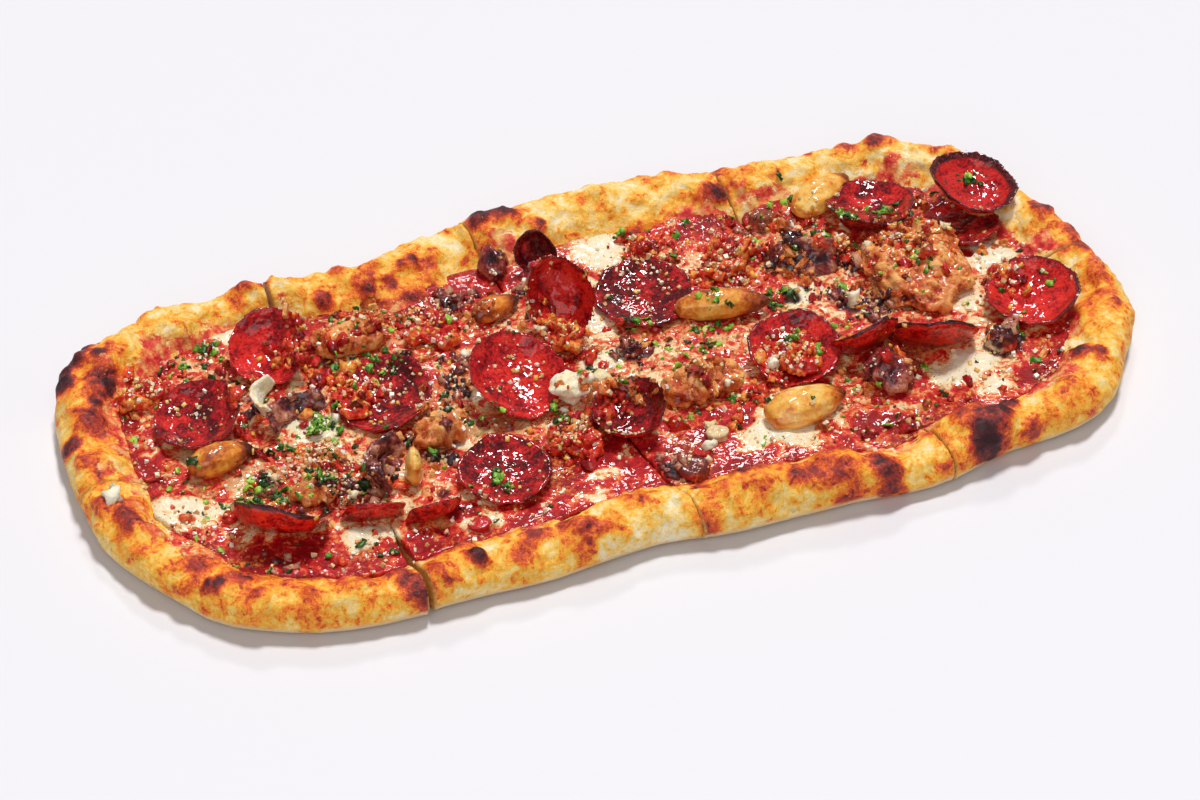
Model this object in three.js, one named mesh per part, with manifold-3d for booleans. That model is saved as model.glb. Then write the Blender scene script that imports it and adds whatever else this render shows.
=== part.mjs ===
// Bee sting pizza: an oblong flatbread pizza of about 14 by 7 inches, cut once along its length
// and three times across into eight slices that still lie together. A blistered raised rim runs
// round a floor of sauce and melted cheese, with cupped pepperoni, roasted garlic, sausage,
// chili paste, onion, bacon and cheese on top.
// Millimetres, +X along the length, +Y across it, +Z up, resting on Z = 0.
import * as THREE from 'three';
import { mergeVertices } from 'three/addons/utils/BufferGeometryUtils.js';
import { ImprovedNoise } from 'three/addons/math/ImprovedNoise.js';
import Module from 'manifold-3d';

// Driving dimensions
const LENGTH = 354;
const WIDTH = 171;
const SQUARENESS = 3.2;
const SPINE_SHARE = 0.51;
const RIM_CREST = 14;
const RIM_BACK_RISE = 2.6;
const FLOOR_THICKNESS = 5;
const RIM_INNER = 29;
const SAUCE_TOP = 9.1;
const SAUCE_BOTTOM = 4;
const SAUCE_INSET = 15;
const CUT_WIDTH = 0.7;
const GAP = 0.3;
const TALL = 60;
const PEPPERONI_THICKNESS = 1.9;
const STRIP_THICKNESS = 1.8;

// Steps of the meshes
const CRUST_SECTORS = 98;
const SAUCE_SECTORS = 48;
const SAUCE_STEPS_LONG = 24;
const SAUCE_STEPS_WIDE = 12;
const PEPPERONI_SECTORS = 12;
const CLOVE_STEPS = [9, 6];
const STRIP_STEPS = [8, 1, 2];
const OUTLINE_SAMPLES = 480;

// Relief that varies smoothly from place to place: rise and width of a lump in mm, and a layer
const RIM_SWELL = { rise: 3.2, lump: 26, layer: 1 };
const RIM_CRAGS = { rise: 1.7, lump: 9, layer: 2 };
const CHEESE_SWELL = { rise: 1.5, lump: 21, layer: 4 };
const CHEESE_RIPPLE = { rise: 0.8, lump: 8, layer: 5 };

// Ripple of the outline: mm outward, and how often it changes along and across the pizza
const OUTLINE_RIPPLE = { rise: 0.9, along: 9, across: 5, layer: 3 };

// How far past its own reach a swell of the outline fades out, and where the back rim is highest
const SWELL_FADE = 1.5;
const BACK_RISE_END = 0.35 * WIDTH;

// Swells and dents of the outline: degrees round from +X, mm outward, degrees to each side
const OUTLINE_SWELLS = [
  [12, -6, 7], [28, 3, 7], [45, -3, 9], [70, 4, 18], [129, -9, 14], [150, 4, 7], [161, 4, 7],
  [195, -4, 6], [214, 6, 11], [260, -4, 15], [314, 5, 9], [333, 8, 7], [352, 3, 8],
];

// Blisters of the rim: place, radius and rise in mm
const BLISTERS = [
  [-150, 50, 17, 3.5], [-168, 8, 13, 2], [-150, -62, 15, 2.5], [-112, -76, 13, 1.5],
  [-70, -77, 10, 1.5], [-50, -70, 11, 3], [-28, -69, 9, 2.5], [24, -72, 12, 2],
  [54, -79, 16, 3.5], [101, -72, 14, 4.5], [122, -78, 9, 2], [158, -52, 13, 2.5],
  [172, -14, 14, 2], [168, 18, 13, 3], [130, 66, 13, 4], [92, 74, 12, 2],
  [60, 70, 11, 3], [24, 78, 16, 2], [-14, 76, 12, 4.5], [-54, 66, 13, 2.5],
  [-94, 70, 11, 3], [-122, 66, 14, 1.5], [152, 60, 11, 2],
];

// Cross cuts: where each meets the front edge and the back edge
const FRONT_EDGE_Y = -84;
const BACK_EDGE_Y = 82;
const CROSS_CUTS = [[-88, -92], [3, -20], [89, 70]];

// The middle of each column of slices, about which they turn
const SLICE_MIDDLES = [-133, -43, 46, 128];

// How far each slice has been pulled from the others: mm along, mm across, degrees of turn
const SLICE_SHIFTS = [
  [[-1.5, -0.6, -0.7], [-1.3, 0, 0]],
  [[0, 0, 0], [0, 0, 0]],
  [[0, 0, 0], [0, 0, 0]],
  [[0.3, -0.2, 0], [0.3, 0, 0]],
];

// Cupped slices: place, width, depth of the cup, curl of two sides, lean and the way it leans
const PEPPERONI = [
  { at: [140, 25], across: 30, cup: 2, curl: 0, lean: 9, toward: 80, lift: 0 },
  { at: [-131, 18], across: 34, cup: 5, curl: 2, lean: 17, toward: 180, lift: 1.5 },
  { at: [-99, 43], across: 31, cup: 5, curl: 3, lean: 30, toward: 225, lift: 3.5 },
  { at: [-72, 10], across: 37, cup: 4, curl: 1, lean: 9, toward: 200, lift: 0 },
  { at: [-31, 0], across: 37, cup: 5, curl: 3, lean: 21, toward: 285, lift: 2.5 },
  { at: [-7, 30], across: 33, cup: 7, curl: 9, lean: 58, toward: 270, lift: 9.5 },
  { at: [26, 28], across: 36, cup: 3, curl: 1, lean: 6, toward: 200, lift: 0.3 },
  { at: [61, -18], across: 34, cup: 4, curl: 1, lean: 13, toward: 250, lift: 1.5 },
  { at: [114, 41], across: 34, cup: 5, curl: 1, lean: 9, toward: 75, lift: 2 },
  { at: [147, 34], across: 35, cup: 6, curl: 2, lean: 12, toward: 339, lift: 4.2 },
  { at: [147, -20], across: 36, cup: 6, curl: 1, lean: 7, toward: 190, lift: 0 },
  { at: [85, -26], across: 27, cup: 4, curl: 1, lean: 54, toward: 98, lift: 4 },
  { at: [105, -31], across: 35, cup: 4, curl: 2, lean: 50, toward: 70, lift: 2.5 },
  { at: [-48, -39], across: 33, cup: 3, curl: 0, lean: 4, toward: 250, lift: 0 },
  { at: [0, -29], across: 29, cup: 8, curl: 2, lean: 14, toward: 205, lift: 0.3 },
  { at: [-125, -41], across: 37, cup: 6, curl: 2, lean: 44, toward: 60, lift: 2 },
  { at: [-94, -44], across: 23, cup: 3, curl: 0, lean: 52, toward: 80, lift: 0 },
  { at: [-75, -50], across: 21, cup: 3, curl: 0, lean: 52, toward: 95, lift: 0 },
  { at: [0, 60], across: 17, cup: 3, curl: 4, lean: 74, toward: 246, lift: 7 },
];

// Section of such a slice: share of its radius, share of its thickness
const PEPPERONI_PROFILE = [
  [0, 0], [0.6, 0], [0.9, 0.05], [1, 0.5], [0.92, 1], [0.6, 1], [0, 1],
];

// Ruffles of its edge: height in mm and waves round it
const RUFFLES = [[0.9, 3], [0.5, 5]];

// How much each mm of curl or of cup draws the edge in
const CURL_PULL = 0.02;
const CUP_PULL = 0.01;

// Roasted cloves: place, length, width, height, heading in degrees, bend and lift
const GARLIC = [
  { at: [54, -45], size: [31, 16, 13], heading: 8, bend: 1.5, lift: 3 },
  { at: [48, 12], size: [34, 12, 11], heading: -12, bend: 1.5, lift: 4 },
  { at: [103, 57], size: [30, 14, 11], heading: 30, bend: 1, lift: 2 },
  { at: [-131, -1], size: [24, 12, 11], heading: 8, bend: 1.5, lift: 3 },
  { at: [-22, 40], size: [19, 10, 9], heading: 10, bend: 1, lift: 2 },
  { at: [-75, -28], size: [15, 6, 13], heading: 75, bend: 0.5, lift: 5 },
];

// How a clove's girth falls toward its point, and toward both ends
const CLOVE_TAPER = 0.55;
const CLOVE_ROUNDING = 0.5;

// Lumps: how often their crags and their grain change over their width, and the grain's share
const LUMP_CRAGS = 3.1;
const LUMP_GRAIN = 8;
const GRAIN_SHARE = 0.5;

// How rough the lumps are, and the length from which a lump has finer faces
const TORN_ROUGHNESS = 0.3;
const BACON_ROUGHNESS = 0.28;
const PASTE_ROUGHNESS = 0.35;
const LARGE_LUMP = 30;

// Sausage crumbles: place, size and lift
const SAUSAGE = [
  { at: [117, 11], size: [36, 43, 14], lift: 3 },
  { at: [27, -22], size: [28, 17, 12], lift: 3 },
  { at: [-73, 42], size: [25, 17, 11], lift: 2.5 },
  { at: [-62, -14], size: [20, 14, 12], lift: 3 },
  { at: [-108, -26], size: [16, 11, 11], lift: 2.5 },
];

// Wrinkled bacon lumps: place, size and lift
const BACON = [
  { at: [87, -38], size: [17, 18, 15], lift: 3 },
  { at: [-15, 62], size: [10, 14, 12], lift: 3 },
];

// Heaps of chili paste: place, length and width of the heap, size of a lump, and lift
const HEAP_LUMPS = 4;
const HEAP_REACH = 0.42;
const FIRST_LUMP = 1.15;
const LUMP_SHRINK = 0.09;
const LUMP_SINK = 0.2;
const LUMP_SHARES = [1.25, 1, 0.85];
const GOLDEN_ANGLE = Math.PI * (3 - Math.sqrt(5));
const CHILI = [
  { at: [-146, 37], spread: [15, 14], lump: 8, lift: 1.5 },
  { at: [-82, 10], spread: [24, 14], lump: 8.5, lift: 3 },
  { at: [-46, 34], spread: [19, 13], lump: 8.5, lift: 2 },
  { at: [-8, 16], spread: [16, 12], lump: 8.5, lift: 4 },
  { at: [62, 36], spread: [27, 20], lump: 10, lift: 2.5 },
  { at: [59, -25], spread: [28, 15], lump: 9, lift: 4.5 },
  { at: [-21, -35], spread: [20, 11], lump: 8.5, lift: 2.5 },
];

// How a curled strip narrows at its ends, and the ripple along it
const STRIP_TAPER = 0.35;
const STRIP_RIPPLE = { rise: 0.7, waves: 4 };

// Curled onion strips: place, length, height, turn of the curl, heading, lean and lift
const ONION = [
  { at: [-104, 13], length: 26, height: 10, turn: 130, heading: 20, lean: 38, lift: 2.5 },
  { at: [84, 24], length: 30, height: 15, turn: 95, heading: 165, lean: -42, lift: 4 },
  { at: [-86, -22], length: 27, height: 12, turn: 110, heading: 60, lean: 25, lift: 3 },
];

// The pale curved shaving and the large crumble of cheese
const SHAVING = { at: [-113, 18], length: 21, height: 7, turn: 150, heading: 70, lean: 30, lift: 7 };
const CRUMBLE = { at: [-15, -11], size: [14, 11, 9], lift: 6 };

// Bits the size of a pea that are baked into the sauce: place and width
const BAKED_BITS = [
  [128, -36, 12], [79, 52, 9], [90, 2, 9], [-50, -12, 8], [12, 5, 8], [9, -59, 8],
  [15, -52, 5], [23, -45, 6], [-99, -8, 6], [-58, 30, 6], [-64, -59, 6], [35, 54, 6],
  [137, 13, 6], [72, 12, 7], [-149, -22, 5],
];

// Width and height of a bit for its length, how high its middle lies, and when it has finer faces
const BIT_SHARES = [1, 0.85, 0.75];
const BIT_LIFT = 0.12;
const LARGE_BIT = 7;

// Crumbs strewn over the sauce by a low-discrepancy rule
const CRUMB_COUNT = 12;
const CRUMB_WIDTH = [3, 4.6];
const CRUMB_STEP = [0.7548776662, 0.569840291];
const CRUMB_WIDTH_STEP = 0.618;
const CRUMB_EDGE_CLEARANCE = 27;
const CRUMB_CUT_CLEARANCE = 3.5;

const wasm = await Module();
wasm.setup();
const perlin = new ImprovedNoise();

function material(color, roughness) {
  return new THREE.MeshStandardMaterial({ color, roughness, metalness: 0 });
}

const CRUST_LOOK = material(0xd9983f, 0.8);
const SAUCE_LOOK = material(0xd98a66, 0.45);
const PEPPERONI_LOOK = material(0x8e1f1c, 0.4);
const GARLIC_LOOK = material(0xc98a35, 0.4);
const SAUSAGE_LOOK = material(0xb3723f, 0.7);
const BACON_LOOK = material(0x7a2b26, 0.55);
const CHILI_LOOK = material(0xc5331c, 0.45);
const ONION_LOOK = material(0x35202a, 0.5);
const CHEESE_LOOK = material(0xefdca8, 0.7);

function solidOf(geometry) {
  const bare = geometry.clone();
  bare.deleteAttribute('normal');
  bare.deleteAttribute('uv');
  const merged = mergeVertices(bare, 1e-3);
  const corners = new Uint32Array(merged.index.array);
  if (signedVolume(merged.attributes.position, corners) < 0) {
    turnFacesOver(corners);
  }
  const vertProperties = new Float32Array(merged.attributes.position.array);
  return new wasm.Manifold(new wasm.Mesh({ numProp: 3, vertProperties, triVerts: corners }));
}

function signedVolume(position, corners) {
  const [a, b, c] = [new THREE.Vector3(), new THREE.Vector3(), new THREE.Vector3()];
  let volume = 0;
  for (let i = 0; i < corners.length; i += 3) {
    a.fromBufferAttribute(position, corners[i]);
    b.fromBufferAttribute(position, corners[i + 1]);
    c.fromBufferAttribute(position, corners[i + 2]);
    volume += a.dot(b.cross(c)) / 6;
  }
  return volume;
}

function turnFacesOver(corners) {
  for (let i = 0; i < corners.length; i += 3) {
    [corners[i + 1], corners[i + 2]] = [corners[i + 2], corners[i + 1]];
  }
}

function geometryOf(solid) {
  const { vertProperties, triVerts } = solid.getMesh();
  const geometry = new THREE.BufferGeometry();
  geometry.setAttribute('position', new THREE.BufferAttribute(vertProperties, 3));
  geometry.setIndex(new THREE.BufferAttribute(triVerts, 1));
  return geometry;
}

function meshOf(name, solid, look) {
  const geometry = geometryOf(solid);
  geometry.computeVertexNormals();
  const mesh = new THREE.Mesh(geometry, look);
  mesh.name = name;
  return mesh;
}

function largestBody(solid) {
  const bodies = solid.decompose();
  return bodies.reduce((best, body) => (body.volume() > best.volume() ? body : best));
}

const SIX_WAYS = [[1, 0, 0], [-1, 0, 0], [0, 1, 0], [0, -1, 0], [0, 0, 1], [0, 0, -1]];

// The solid with copies of itself moved out by the gap along each of the given ways
function grown(solid, ways = SIX_WAYS) {
  return ways.reduce((all, way) => all.add(solid.translate(way.map((step) => step * GAP))), solid);
}

function boxesMeet(a, b) {
  const [boxA, boxB] = [a.boundingBox(), b.boundingBox()];
  return [0, 1, 2].every((axis) => {
    return boxA.min[axis] < boxB.max[axis] && boxB.min[axis] < boxA.max[axis];
  });
}

function meet(a, b) {
  return !a.intersect(b).isEmpty();
}

function cutByAll(solid, cutters) {
  return cutters
    .filter((cutter) => boxesMeet(solid, cutter))
    .reduce((left, cutter) => left.subtract(cutter), solid);
}

function noise(x, y, z = 0) {
  return perlin.noise(x, y, z);
}

function relief({ rise, lump, layer }, x, y) {
  return rise * noise(x / lump, y / lump, layer);
}

// A hump of height 1 that falls smoothly to 0 at distance 1
function hump(distance) {
  if (distance >= 1) {
    return 0;
  }
  const near = 1 - distance * distance;
  return near * near;
}

function outlineRadius(angle) {
  const along = Math.abs(Math.cos(angle)) / (LENGTH / 2);
  const across = Math.abs(Math.sin(angle)) / (WIDTH / 2);
  const power = along ** SQUARENESS + across ** SQUARENESS;
  const degrees = THREE.MathUtils.radToDeg(angle);
  let radius = power ** (-1 / SQUARENESS);
  for (const [at, outward, reach] of OUTLINE_SWELLS) {
    const away = Math.abs(THREE.MathUtils.euclideanModulo(degrees - at + 180, 360) - 180);
    radius += outward * hump(away / (reach * SWELL_FADE));
  }
  const { rise, along: stepsAlong, across: stepsAcross, layer } = OUTLINE_RIPPLE;
  return radius + rise * noise(Math.cos(angle) * stepsAlong, Math.sin(angle) * stepsAcross, layer);
}

// Points at equal steps along the outline
function outlinePoints(count) {
  const curve = new THREE.CatmullRomCurve3([], true);
  for (let i = 0; i < OUTLINE_SAMPLES; i += 1) {
    const angle = (i / OUTLINE_SAMPLES) * 2 * Math.PI;
    const radius = outlineRadius(angle);
    curve.points.push(new THREE.Vector3(radius * Math.cos(angle), radius * Math.sin(angle), 0));
  }
  curve.arcLengthDivisions = 2 * OUTLINE_SAMPLES;
  return curve.getSpacedPoints(count).slice(0, count);
}

// The point a given distance in from an outline point, toward the spine of the pizza
function inwardPoint(edge, distance) {
  const spine = new THREE.Vector3(edge.x * SPINE_SHARE, 0, 0);
  return edge.clone().add(spine.sub(edge).setLength(distance));
}

function distanceToEdge(x, y, edges) {
  return Math.min(...edges.map((edge) => Math.hypot(edge.x - x, edge.y - y)));
}

function blisterRise(x, y) {
  let rise = 0;
  for (const [blisterX, blisterY, radius, height] of BLISTERS) {
    rise += height * hump(Math.hypot(x - blisterX, y - blisterY) / radius);
  }
  return rise;
}

// Rings of the crust from the middle of its underside round the rim to the middle of its floor:
// mm in from the edge, share of the crest's height, and how much of a blister each carries
const CRUST_RINGS = [
  [null, 0, 0], [5.5, 0, 0], [1.7, 0.14, 0], [0, 0.42, 0.25], [1, 0.7, 0.6], [4, 0.91, 0.9],
  [9, 1, 1], [14, 0.9, 1], [18.5, 0.72, 0.7], [23, 0.54, 0.35], [RIM_INNER, null, 0],
  [null, null, 0],
];

function crustSolid() {
  const profile = CRUST_RINGS.map((ring, row) => new THREE.Vector2(ring[0] === null ? 0 : 1, row));
  const geometry = new THREE.LatheGeometry(profile, CRUST_SECTORS);
  const position = geometry.attributes.position;
  const edges = outlinePoints(CRUST_SECTORS);
  for (let i = 0; i < position.count; i += 1) {
    const sector = Math.round(geometry.attributes.uv.getX(i) * CRUST_SECTORS) % CRUST_SECTORS;
    const row = Math.round(position.getY(i));
    const vertex = crustVertex(edges[sector], CRUST_RINGS[row]);
    position.setXYZ(i, vertex.x, vertex.y, vertex.z);
  }
  return solidOf(geometry);
}

function crustVertex(edge, [inward, crestShare, blisterShare]) {
  const vertex = inward === null ? new THREE.Vector3() : inwardPoint(edge, inward);
  if (crestShare === null) {
    vertex.z = FLOOR_THICKNESS;
    return vertex;
  }
  const backRise = RIM_BACK_RISE * THREE.MathUtils.smoothstep(edge.y, 0, BACK_RISE_END);
  const crest = RIM_CREST + backRise + relief(RIM_SWELL, edge.x, edge.y);
  const crags = relief(RIM_CRAGS, vertex.x, vertex.y) * blisterShare;
  vertex.z = crest * crestShare + blisterShare * blisterRise(vertex.x, vertex.y) + crags;
  return vertex;
}

function sauceHeight(x, y) {
  return SAUCE_TOP + relief(CHEESE_SWELL, x, y) + relief(CHEESE_RIPPLE, x, y);
}

// A slab with the relief of melted cheese, which ends where the rim rises through it
function sauceSolid(crust) {
  const depth = SAUCE_TOP - SAUCE_BOTTOM;
  const slab = new THREE.BoxGeometry(LENGTH, WIDTH, depth, SAUCE_STEPS_LONG, SAUCE_STEPS_WIDE, 1);
  slab.translate(0, 0, SAUCE_BOTTOM + depth / 2);
  const position = slab.attributes.position;
  for (let i = 0; i < position.count; i += 1) {
    if (position.getZ(i) > SAUCE_BOTTOM + depth / 2) {
      position.setZ(i, sauceHeight(position.getX(i), position.getY(i)));
    }
  }
  const trim = outlinePoints(SAUCE_SECTORS).map((edge) => inwardPoint(edge, SAUCE_INSET));
  const prism = prismSolid(trim, 0, TALL);
  return largestBody(solidOf(slab).intersect(prism).subtract(crust.translate([0, 0, GAP])));
}

function prismSolid(points, bottom, height) {
  const shape = new THREE.Shape(points.map((point) => new THREE.Vector2(point.x, point.y)));
  const prism = new THREE.ExtrudeGeometry(shape, { depth: height, bevelEnabled: false });
  prism.translate(0, 0, bottom);
  return solidOf(prism);
}

// X of a cross cut, or of the open ends past the crust, at a given Y
function cutX(cut, y) {
  if (cut < 0 || cut >= CROSS_CUTS.length) {
    return cut < 0 ? -LENGTH : LENGTH;
  }
  const [front, back] = CROSS_CUTS[cut];
  return THREE.MathUtils.mapLinear(y, FRONT_EDGE_Y, BACK_EDGE_Y, front, back);
}

// The block of space that one slice takes, with half a cut's width off each side
function sliceBlock(column, row) {
  const half = CUT_WIDTH / 2;
  const near = row === 0 ? -WIDTH : half;
  const far = row === 0 ? -half : WIDTH;
  const corners = [
    [cutX(column - 1, near) + half, near], [cutX(column, near) - half, near],
    [cutX(column, far) - half, far], [cutX(column - 1, far) + half, far],
  ];
  return prismSolid(corners.map(([x, y]) => ({ x, y })), -TALL, 2 * TALL);
}

// A slice cut from the whole and moved a little, turning about its own middle
function slice(whole, column, row) {
  const [along, across, turn] = SLICE_SHIFTS[column][row];
  const middle = [SLICE_MIDDLES[column], ((row === 0 ? -1 : 1) * WIDTH) / 4, 0];
  const cut = largestBody(whole.intersect(sliceBlock(column, row)));
  const turned = cut.translate(middle.map((value) => -value)).rotate([0, 0, turn]);
  return turned.translate([middle[0] + along, middle[1] + across, 0]);
}

// Moves a shape from its own frame to its place: turned by its heading, leaned, then set down
function settle(geometry, { at, lift, heading = 0, lean = 0, toward = 0 }, ground) {
  const place = new THREE.Object3D();
  const leanAxis = new THREE.Vector3(-Math.sin(rad(toward)), Math.cos(rad(toward)), 0);
  place.position.set(at[0], at[1], groundHeight(at[0], at[1], ground) + lift);
  place.quaternion.setFromAxisAngle(leanAxis, rad(lean));
  place.rotateZ(rad(heading));
  place.updateMatrix();
  return geometry.applyMatrix4(place.matrix);
}

function rad(degrees) {
  return THREE.MathUtils.degToRad(degrees);
}

function groundHeight(x, y, ground) {
  const down = new THREE.Raycaster(new THREE.Vector3(x, y, TALL), new THREE.Vector3(0, 0, -1));
  return down.intersectObjects(ground)[0].point.z;
}

// Moves each vertex of a geometry by a function of its position
function reshape(geometry, move) {
  const position = geometry.attributes.position;
  const vertex = new THREE.Vector3();
  for (let i = 0; i < position.count; i += 1) {
    vertex.fromBufferAttribute(position, i);
    move(vertex);
    position.setXYZ(i, vertex.x, vertex.y, vertex.z);
  }
  return geometry;
}

// A thin round slice whose edge has risen into a cup, with two sides curled higher
function pepperoniShape({ across, cup, curl, at }) {
  const radius = across / 2;
  const profile = PEPPERONI_PROFILE.map(
    ([out, up]) => new THREE.Vector2(out * radius, up * PEPPERONI_THICKNESS),
  );
  const disc = new THREE.LatheGeometry(profile, PEPPERONI_SECTORS).rotateX(Math.PI / 2);
  return reshape(disc, (vertex) => {
    const out = Math.hypot(vertex.x, vertex.y) / radius;
    const angle = Math.atan2(vertex.y, vertex.x);
    const ruffles = RUFFLES.map(([rise, waves], i) => rise * Math.cos(waves * angle + at[i]));
    const ruffle = ruffles[0] + ruffles[1];
    vertex.z += cup * out ** 3 + curl * (vertex.x / radius) ** 2 + ruffle * out ** 3;
    vertex.x *= 1 - (CURL_PULL * curl + CUP_PULL * cup) * out ** 2;
    vertex.y *= 1 - CUP_PULL * cup * out ** 2;
  });
}

// A clove: fat near one end, drawn to a point at the other, and bent
function garlicShape({ size: [length, width, height], bend }) {
  const clove = new THREE.SphereGeometry(0.5, ...CLOVE_STEPS).rotateZ(Math.PI / 2);
  return reshape(clove, (vertex) => {
    const girth = 1 - CLOVE_TAPER * vertex.x - CLOVE_ROUNDING * vertex.x ** 2;
    vertex.y *= width * girth;
    vertex.z = vertex.z * height * girth - bend * (4 * vertex.x ** 2 - 1) * 0.5;
    vertex.x *= length;
  });
}

// A torn lump with a craggy surface
function lumpShape({ size: [length, width, height], at }, detail, roughness) {
  const lump = new THREE.IcosahedronGeometry(0.5, detail);
  return reshape(lump, (vertex) => {
    const { x, y, z } = vertex;
    const crags = noise(x * LUMP_CRAGS + at[0], y * LUMP_CRAGS + at[1], z * LUMP_CRAGS);
    const grain = noise(x * LUMP_GRAIN + at[1], y * LUMP_GRAIN, z * LUMP_GRAIN + at[0]);
    vertex.multiplyScalar(1 + roughness * (crags + GRAIN_SHARE * grain));
    vertex.multiply(new THREE.Vector3(length, width, height));
  });
}

// A curled strip: a flat band wrapped round part of a circle
function stripShape({ length, height, turn, at }) {
  const strip = new THREE.BoxGeometry(length, STRIP_THICKNESS, height, ...STRIP_STEPS);
  const radius = length / rad(turn);
  return reshape(strip, (vertex) => {
    const angle = vertex.x / radius;
    const taper = 1 - STRIP_TAPER * (2 * vertex.x / length) ** 2;
    const ripple = STRIP_RIPPLE.rise * Math.sin(angle * STRIP_RIPPLE.waves + at[0]);
    const out = radius + vertex.y + ripple;
    vertex.set(out * Math.sin(angle), out * Math.cos(angle) - radius, vertex.z * taper);
  });
}

// A heap of chili paste: lumps along a golden-angle spiral, joined into one
function chiliSolid(heap, ground) {
  let solid = null;
  for (let i = 0; i < HEAP_LUMPS; i += 1) {
    const out = Math.sqrt(i / HEAP_LUMPS) * HEAP_REACH;
    const angle = i * GOLDEN_ANGLE + heap.at[0];
    const width = heap.lump * (FIRST_LUMP - LUMP_SHRINK * i);
    const size = LUMP_SHARES.map((share) => share * width);
    const offset = [out * heap.spread[0] * Math.cos(angle), out * heap.spread[1] * Math.sin(angle)];
    const at = [heap.at[0] + offset[0], heap.at[1] + offset[1]];
    const lump = lumpShape({ size, at }, 0, PASTE_ROUGHNESS);
    const lift = heap.lift - LUMP_SINK * i;
    const placed = solidOf(settle(lump, { ...heap, at, lift }, ground));
    solid = solid ? solid.add(placed) : placed;
  }
  return solid;
}

// Everything that lies on the sauce, in the order it was laid down
function toppingList(ground) {
  const list = [];
  const add = (kind, rows, look, shape) => rows.forEach((row, index) => {
    const name = rows.length > 1 ? `${kind}_${index + 1}` : kind;
    list.push({ name, look, solid: shape(row) });
  });
  const settled = (geometry, row) => solidOf(settle(geometry, row, ground));
  const stripPose = (row) => ({ ...row, toward: row.heading + 90 });
  add('sausage', SAUSAGE, SAUSAGE_LOOK, (row) => {
    return settled(lumpShape(row, row.size[0] > LARGE_LUMP ? 2 : 1, TORN_ROUGHNESS), row);
  });
  add('garlic', GARLIC, GARLIC_LOOK, (row) => settled(garlicShape(row), row));
  add('pepperoni', PEPPERONI, PEPPERONI_LOOK, (row) => settled(pepperoniShape(row), row));
  add('bacon', BACON, BACON_LOOK, (row) => settled(lumpShape(row, 1, BACON_ROUGHNESS), row));
  add('onion', ONION, ONION_LOOK, (row) => settled(stripShape(row), stripPose(row)));
  add('chili_paste', CHILI, CHILI_LOOK, (row) => chiliSolid(row, ground));
  add('cheese_shaving', [SHAVING], CHEESE_LOOK, (row) => settled(stripShape(row), stripPose(row)));
  add('cheese_crumble', [CRUMBLE], CHEESE_LOOK, (row) => {
    return settled(lumpShape(row, 1, TORN_ROUGHNESS), row);
  });
  return list;
}

function clearOfCuts(x, y) {
  const clearOfCross = CROSS_CUTS.every((_, cut) => Math.abs(x - cutX(cut, y)) > CRUMB_CUT_CLEARANCE);
  return clearOfCross && Math.abs(y) > CRUMB_CUT_CLEARANCE;
}

// Places and widths of the crumbs and bits that are baked into the sauce
function bakedBits(edges) {
  const bits = [...BAKED_BITS];
  for (let i = 1; i <= CRUMB_COUNT; i += 1) {
    const [stepX, stepY] = CRUMB_STEP;
    const x = ((i * stepX) % 1 - 0.5) * LENGTH;
    const y = ((i * stepY) % 1 - 0.5) * WIDTH;
    const width = THREE.MathUtils.lerp(...CRUMB_WIDTH, (i * CRUMB_WIDTH_STEP) % 1);
    if (distanceToEdge(x, y, edges) > CRUMB_EDGE_CLEARANCE) {
      bits.push([x, y, width]);
    }
  }
  return bits.filter(([x, y]) => clearOfCuts(x, y));
}

function bitSolid([x, y, width], ground) {
  const detail = width > LARGE_BIT ? 1 : 0;
  const size = BIT_SHARES.map((share) => share * width);
  const bit = lumpShape({ size, at: [x, y] }, detail, TORN_ROUGHNESS);
  return solidOf(settle(bit, { at: [x, y], lift: width * BIT_LIFT }, ground));
}

function eachSlice(whole) {
  return SLICE_SHIFTS.flatMap((rows, column) => rows.map((_, row) => slice(whole, column, row)));
}

function unionOf(solids) {
  return solids.reduce((all, solid) => all.add(solid));
}

const crust = crustSolid();
const sauce = sauceSolid(crust);
const ground = [meshOf('crust', crust, CRUST_LOOK), meshOf('sauce', sauce, SAUCE_LOOK)];
const crustSlices = eachSlice(crust);
const sauceSlices = eachSlice(sauce);

// The slices thickened by the gap, and the uncut whole set lower, which only fills the cuts
const bed = [...crustSlices, ...sauceSlices].map((part) => grown(part));
bed.push(crust.translate([0, 0, -GAP]), sauce.translate([0, 0, -GAP]));

// Each topping gives way to the bed and to what was laid down before it
const toppings = [];
const laid = [];
for (const { name, look, solid } of toppingList(ground)) {
  const body = largestBody(cutByAll(solid, [...bed, ...laid]));
  toppings.push(meshOf(name, body, look));
  laid.push(grown(body));
}

// A bit that would touch a topping is left out
const bits = bakedBits(outlinePoints(CRUST_SECTORS))
  .map((bit) => bitSolid(bit, ground))
  .filter((bit) => !laid.some((topping) => boxesMeet(bit, topping) && meet(bit, topping)));
const sauceWithBits = sauceSlices.map((part) => {
  const touching = bits.filter((bit) => boxesMeet(bit, part) && meet(bit, part));
  return largestBody(unionOf([part, ...touching]));
});

const SLICE_NAMES = ['left', 'middle_left', 'middle_right', 'right'];
const sliceName = (index) => `${SLICE_NAMES[index >> 1]}_${index % 2 === 0 ? 'front' : 'back'}`;

const pizza = new THREE.Group();
crustSlices.forEach((part, index) => {
  pizza.add(meshOf(`crust_${sliceName(index)}`, part, CRUST_LOOK));
});
sauceWithBits.forEach((part, index) => {
  pizza.add(meshOf(`sauce_${sliceName(index)}`, part, SAUCE_LOOK));
});
pizza.add(...toppings);

// The origin is the middle of the underside's bounding box
const middle = new THREE.Box3().setFromObject(pizza).getCenter(new THREE.Vector3());
pizza.position.set(-middle.x, -middle.y, 0);

export default pizza;
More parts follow.
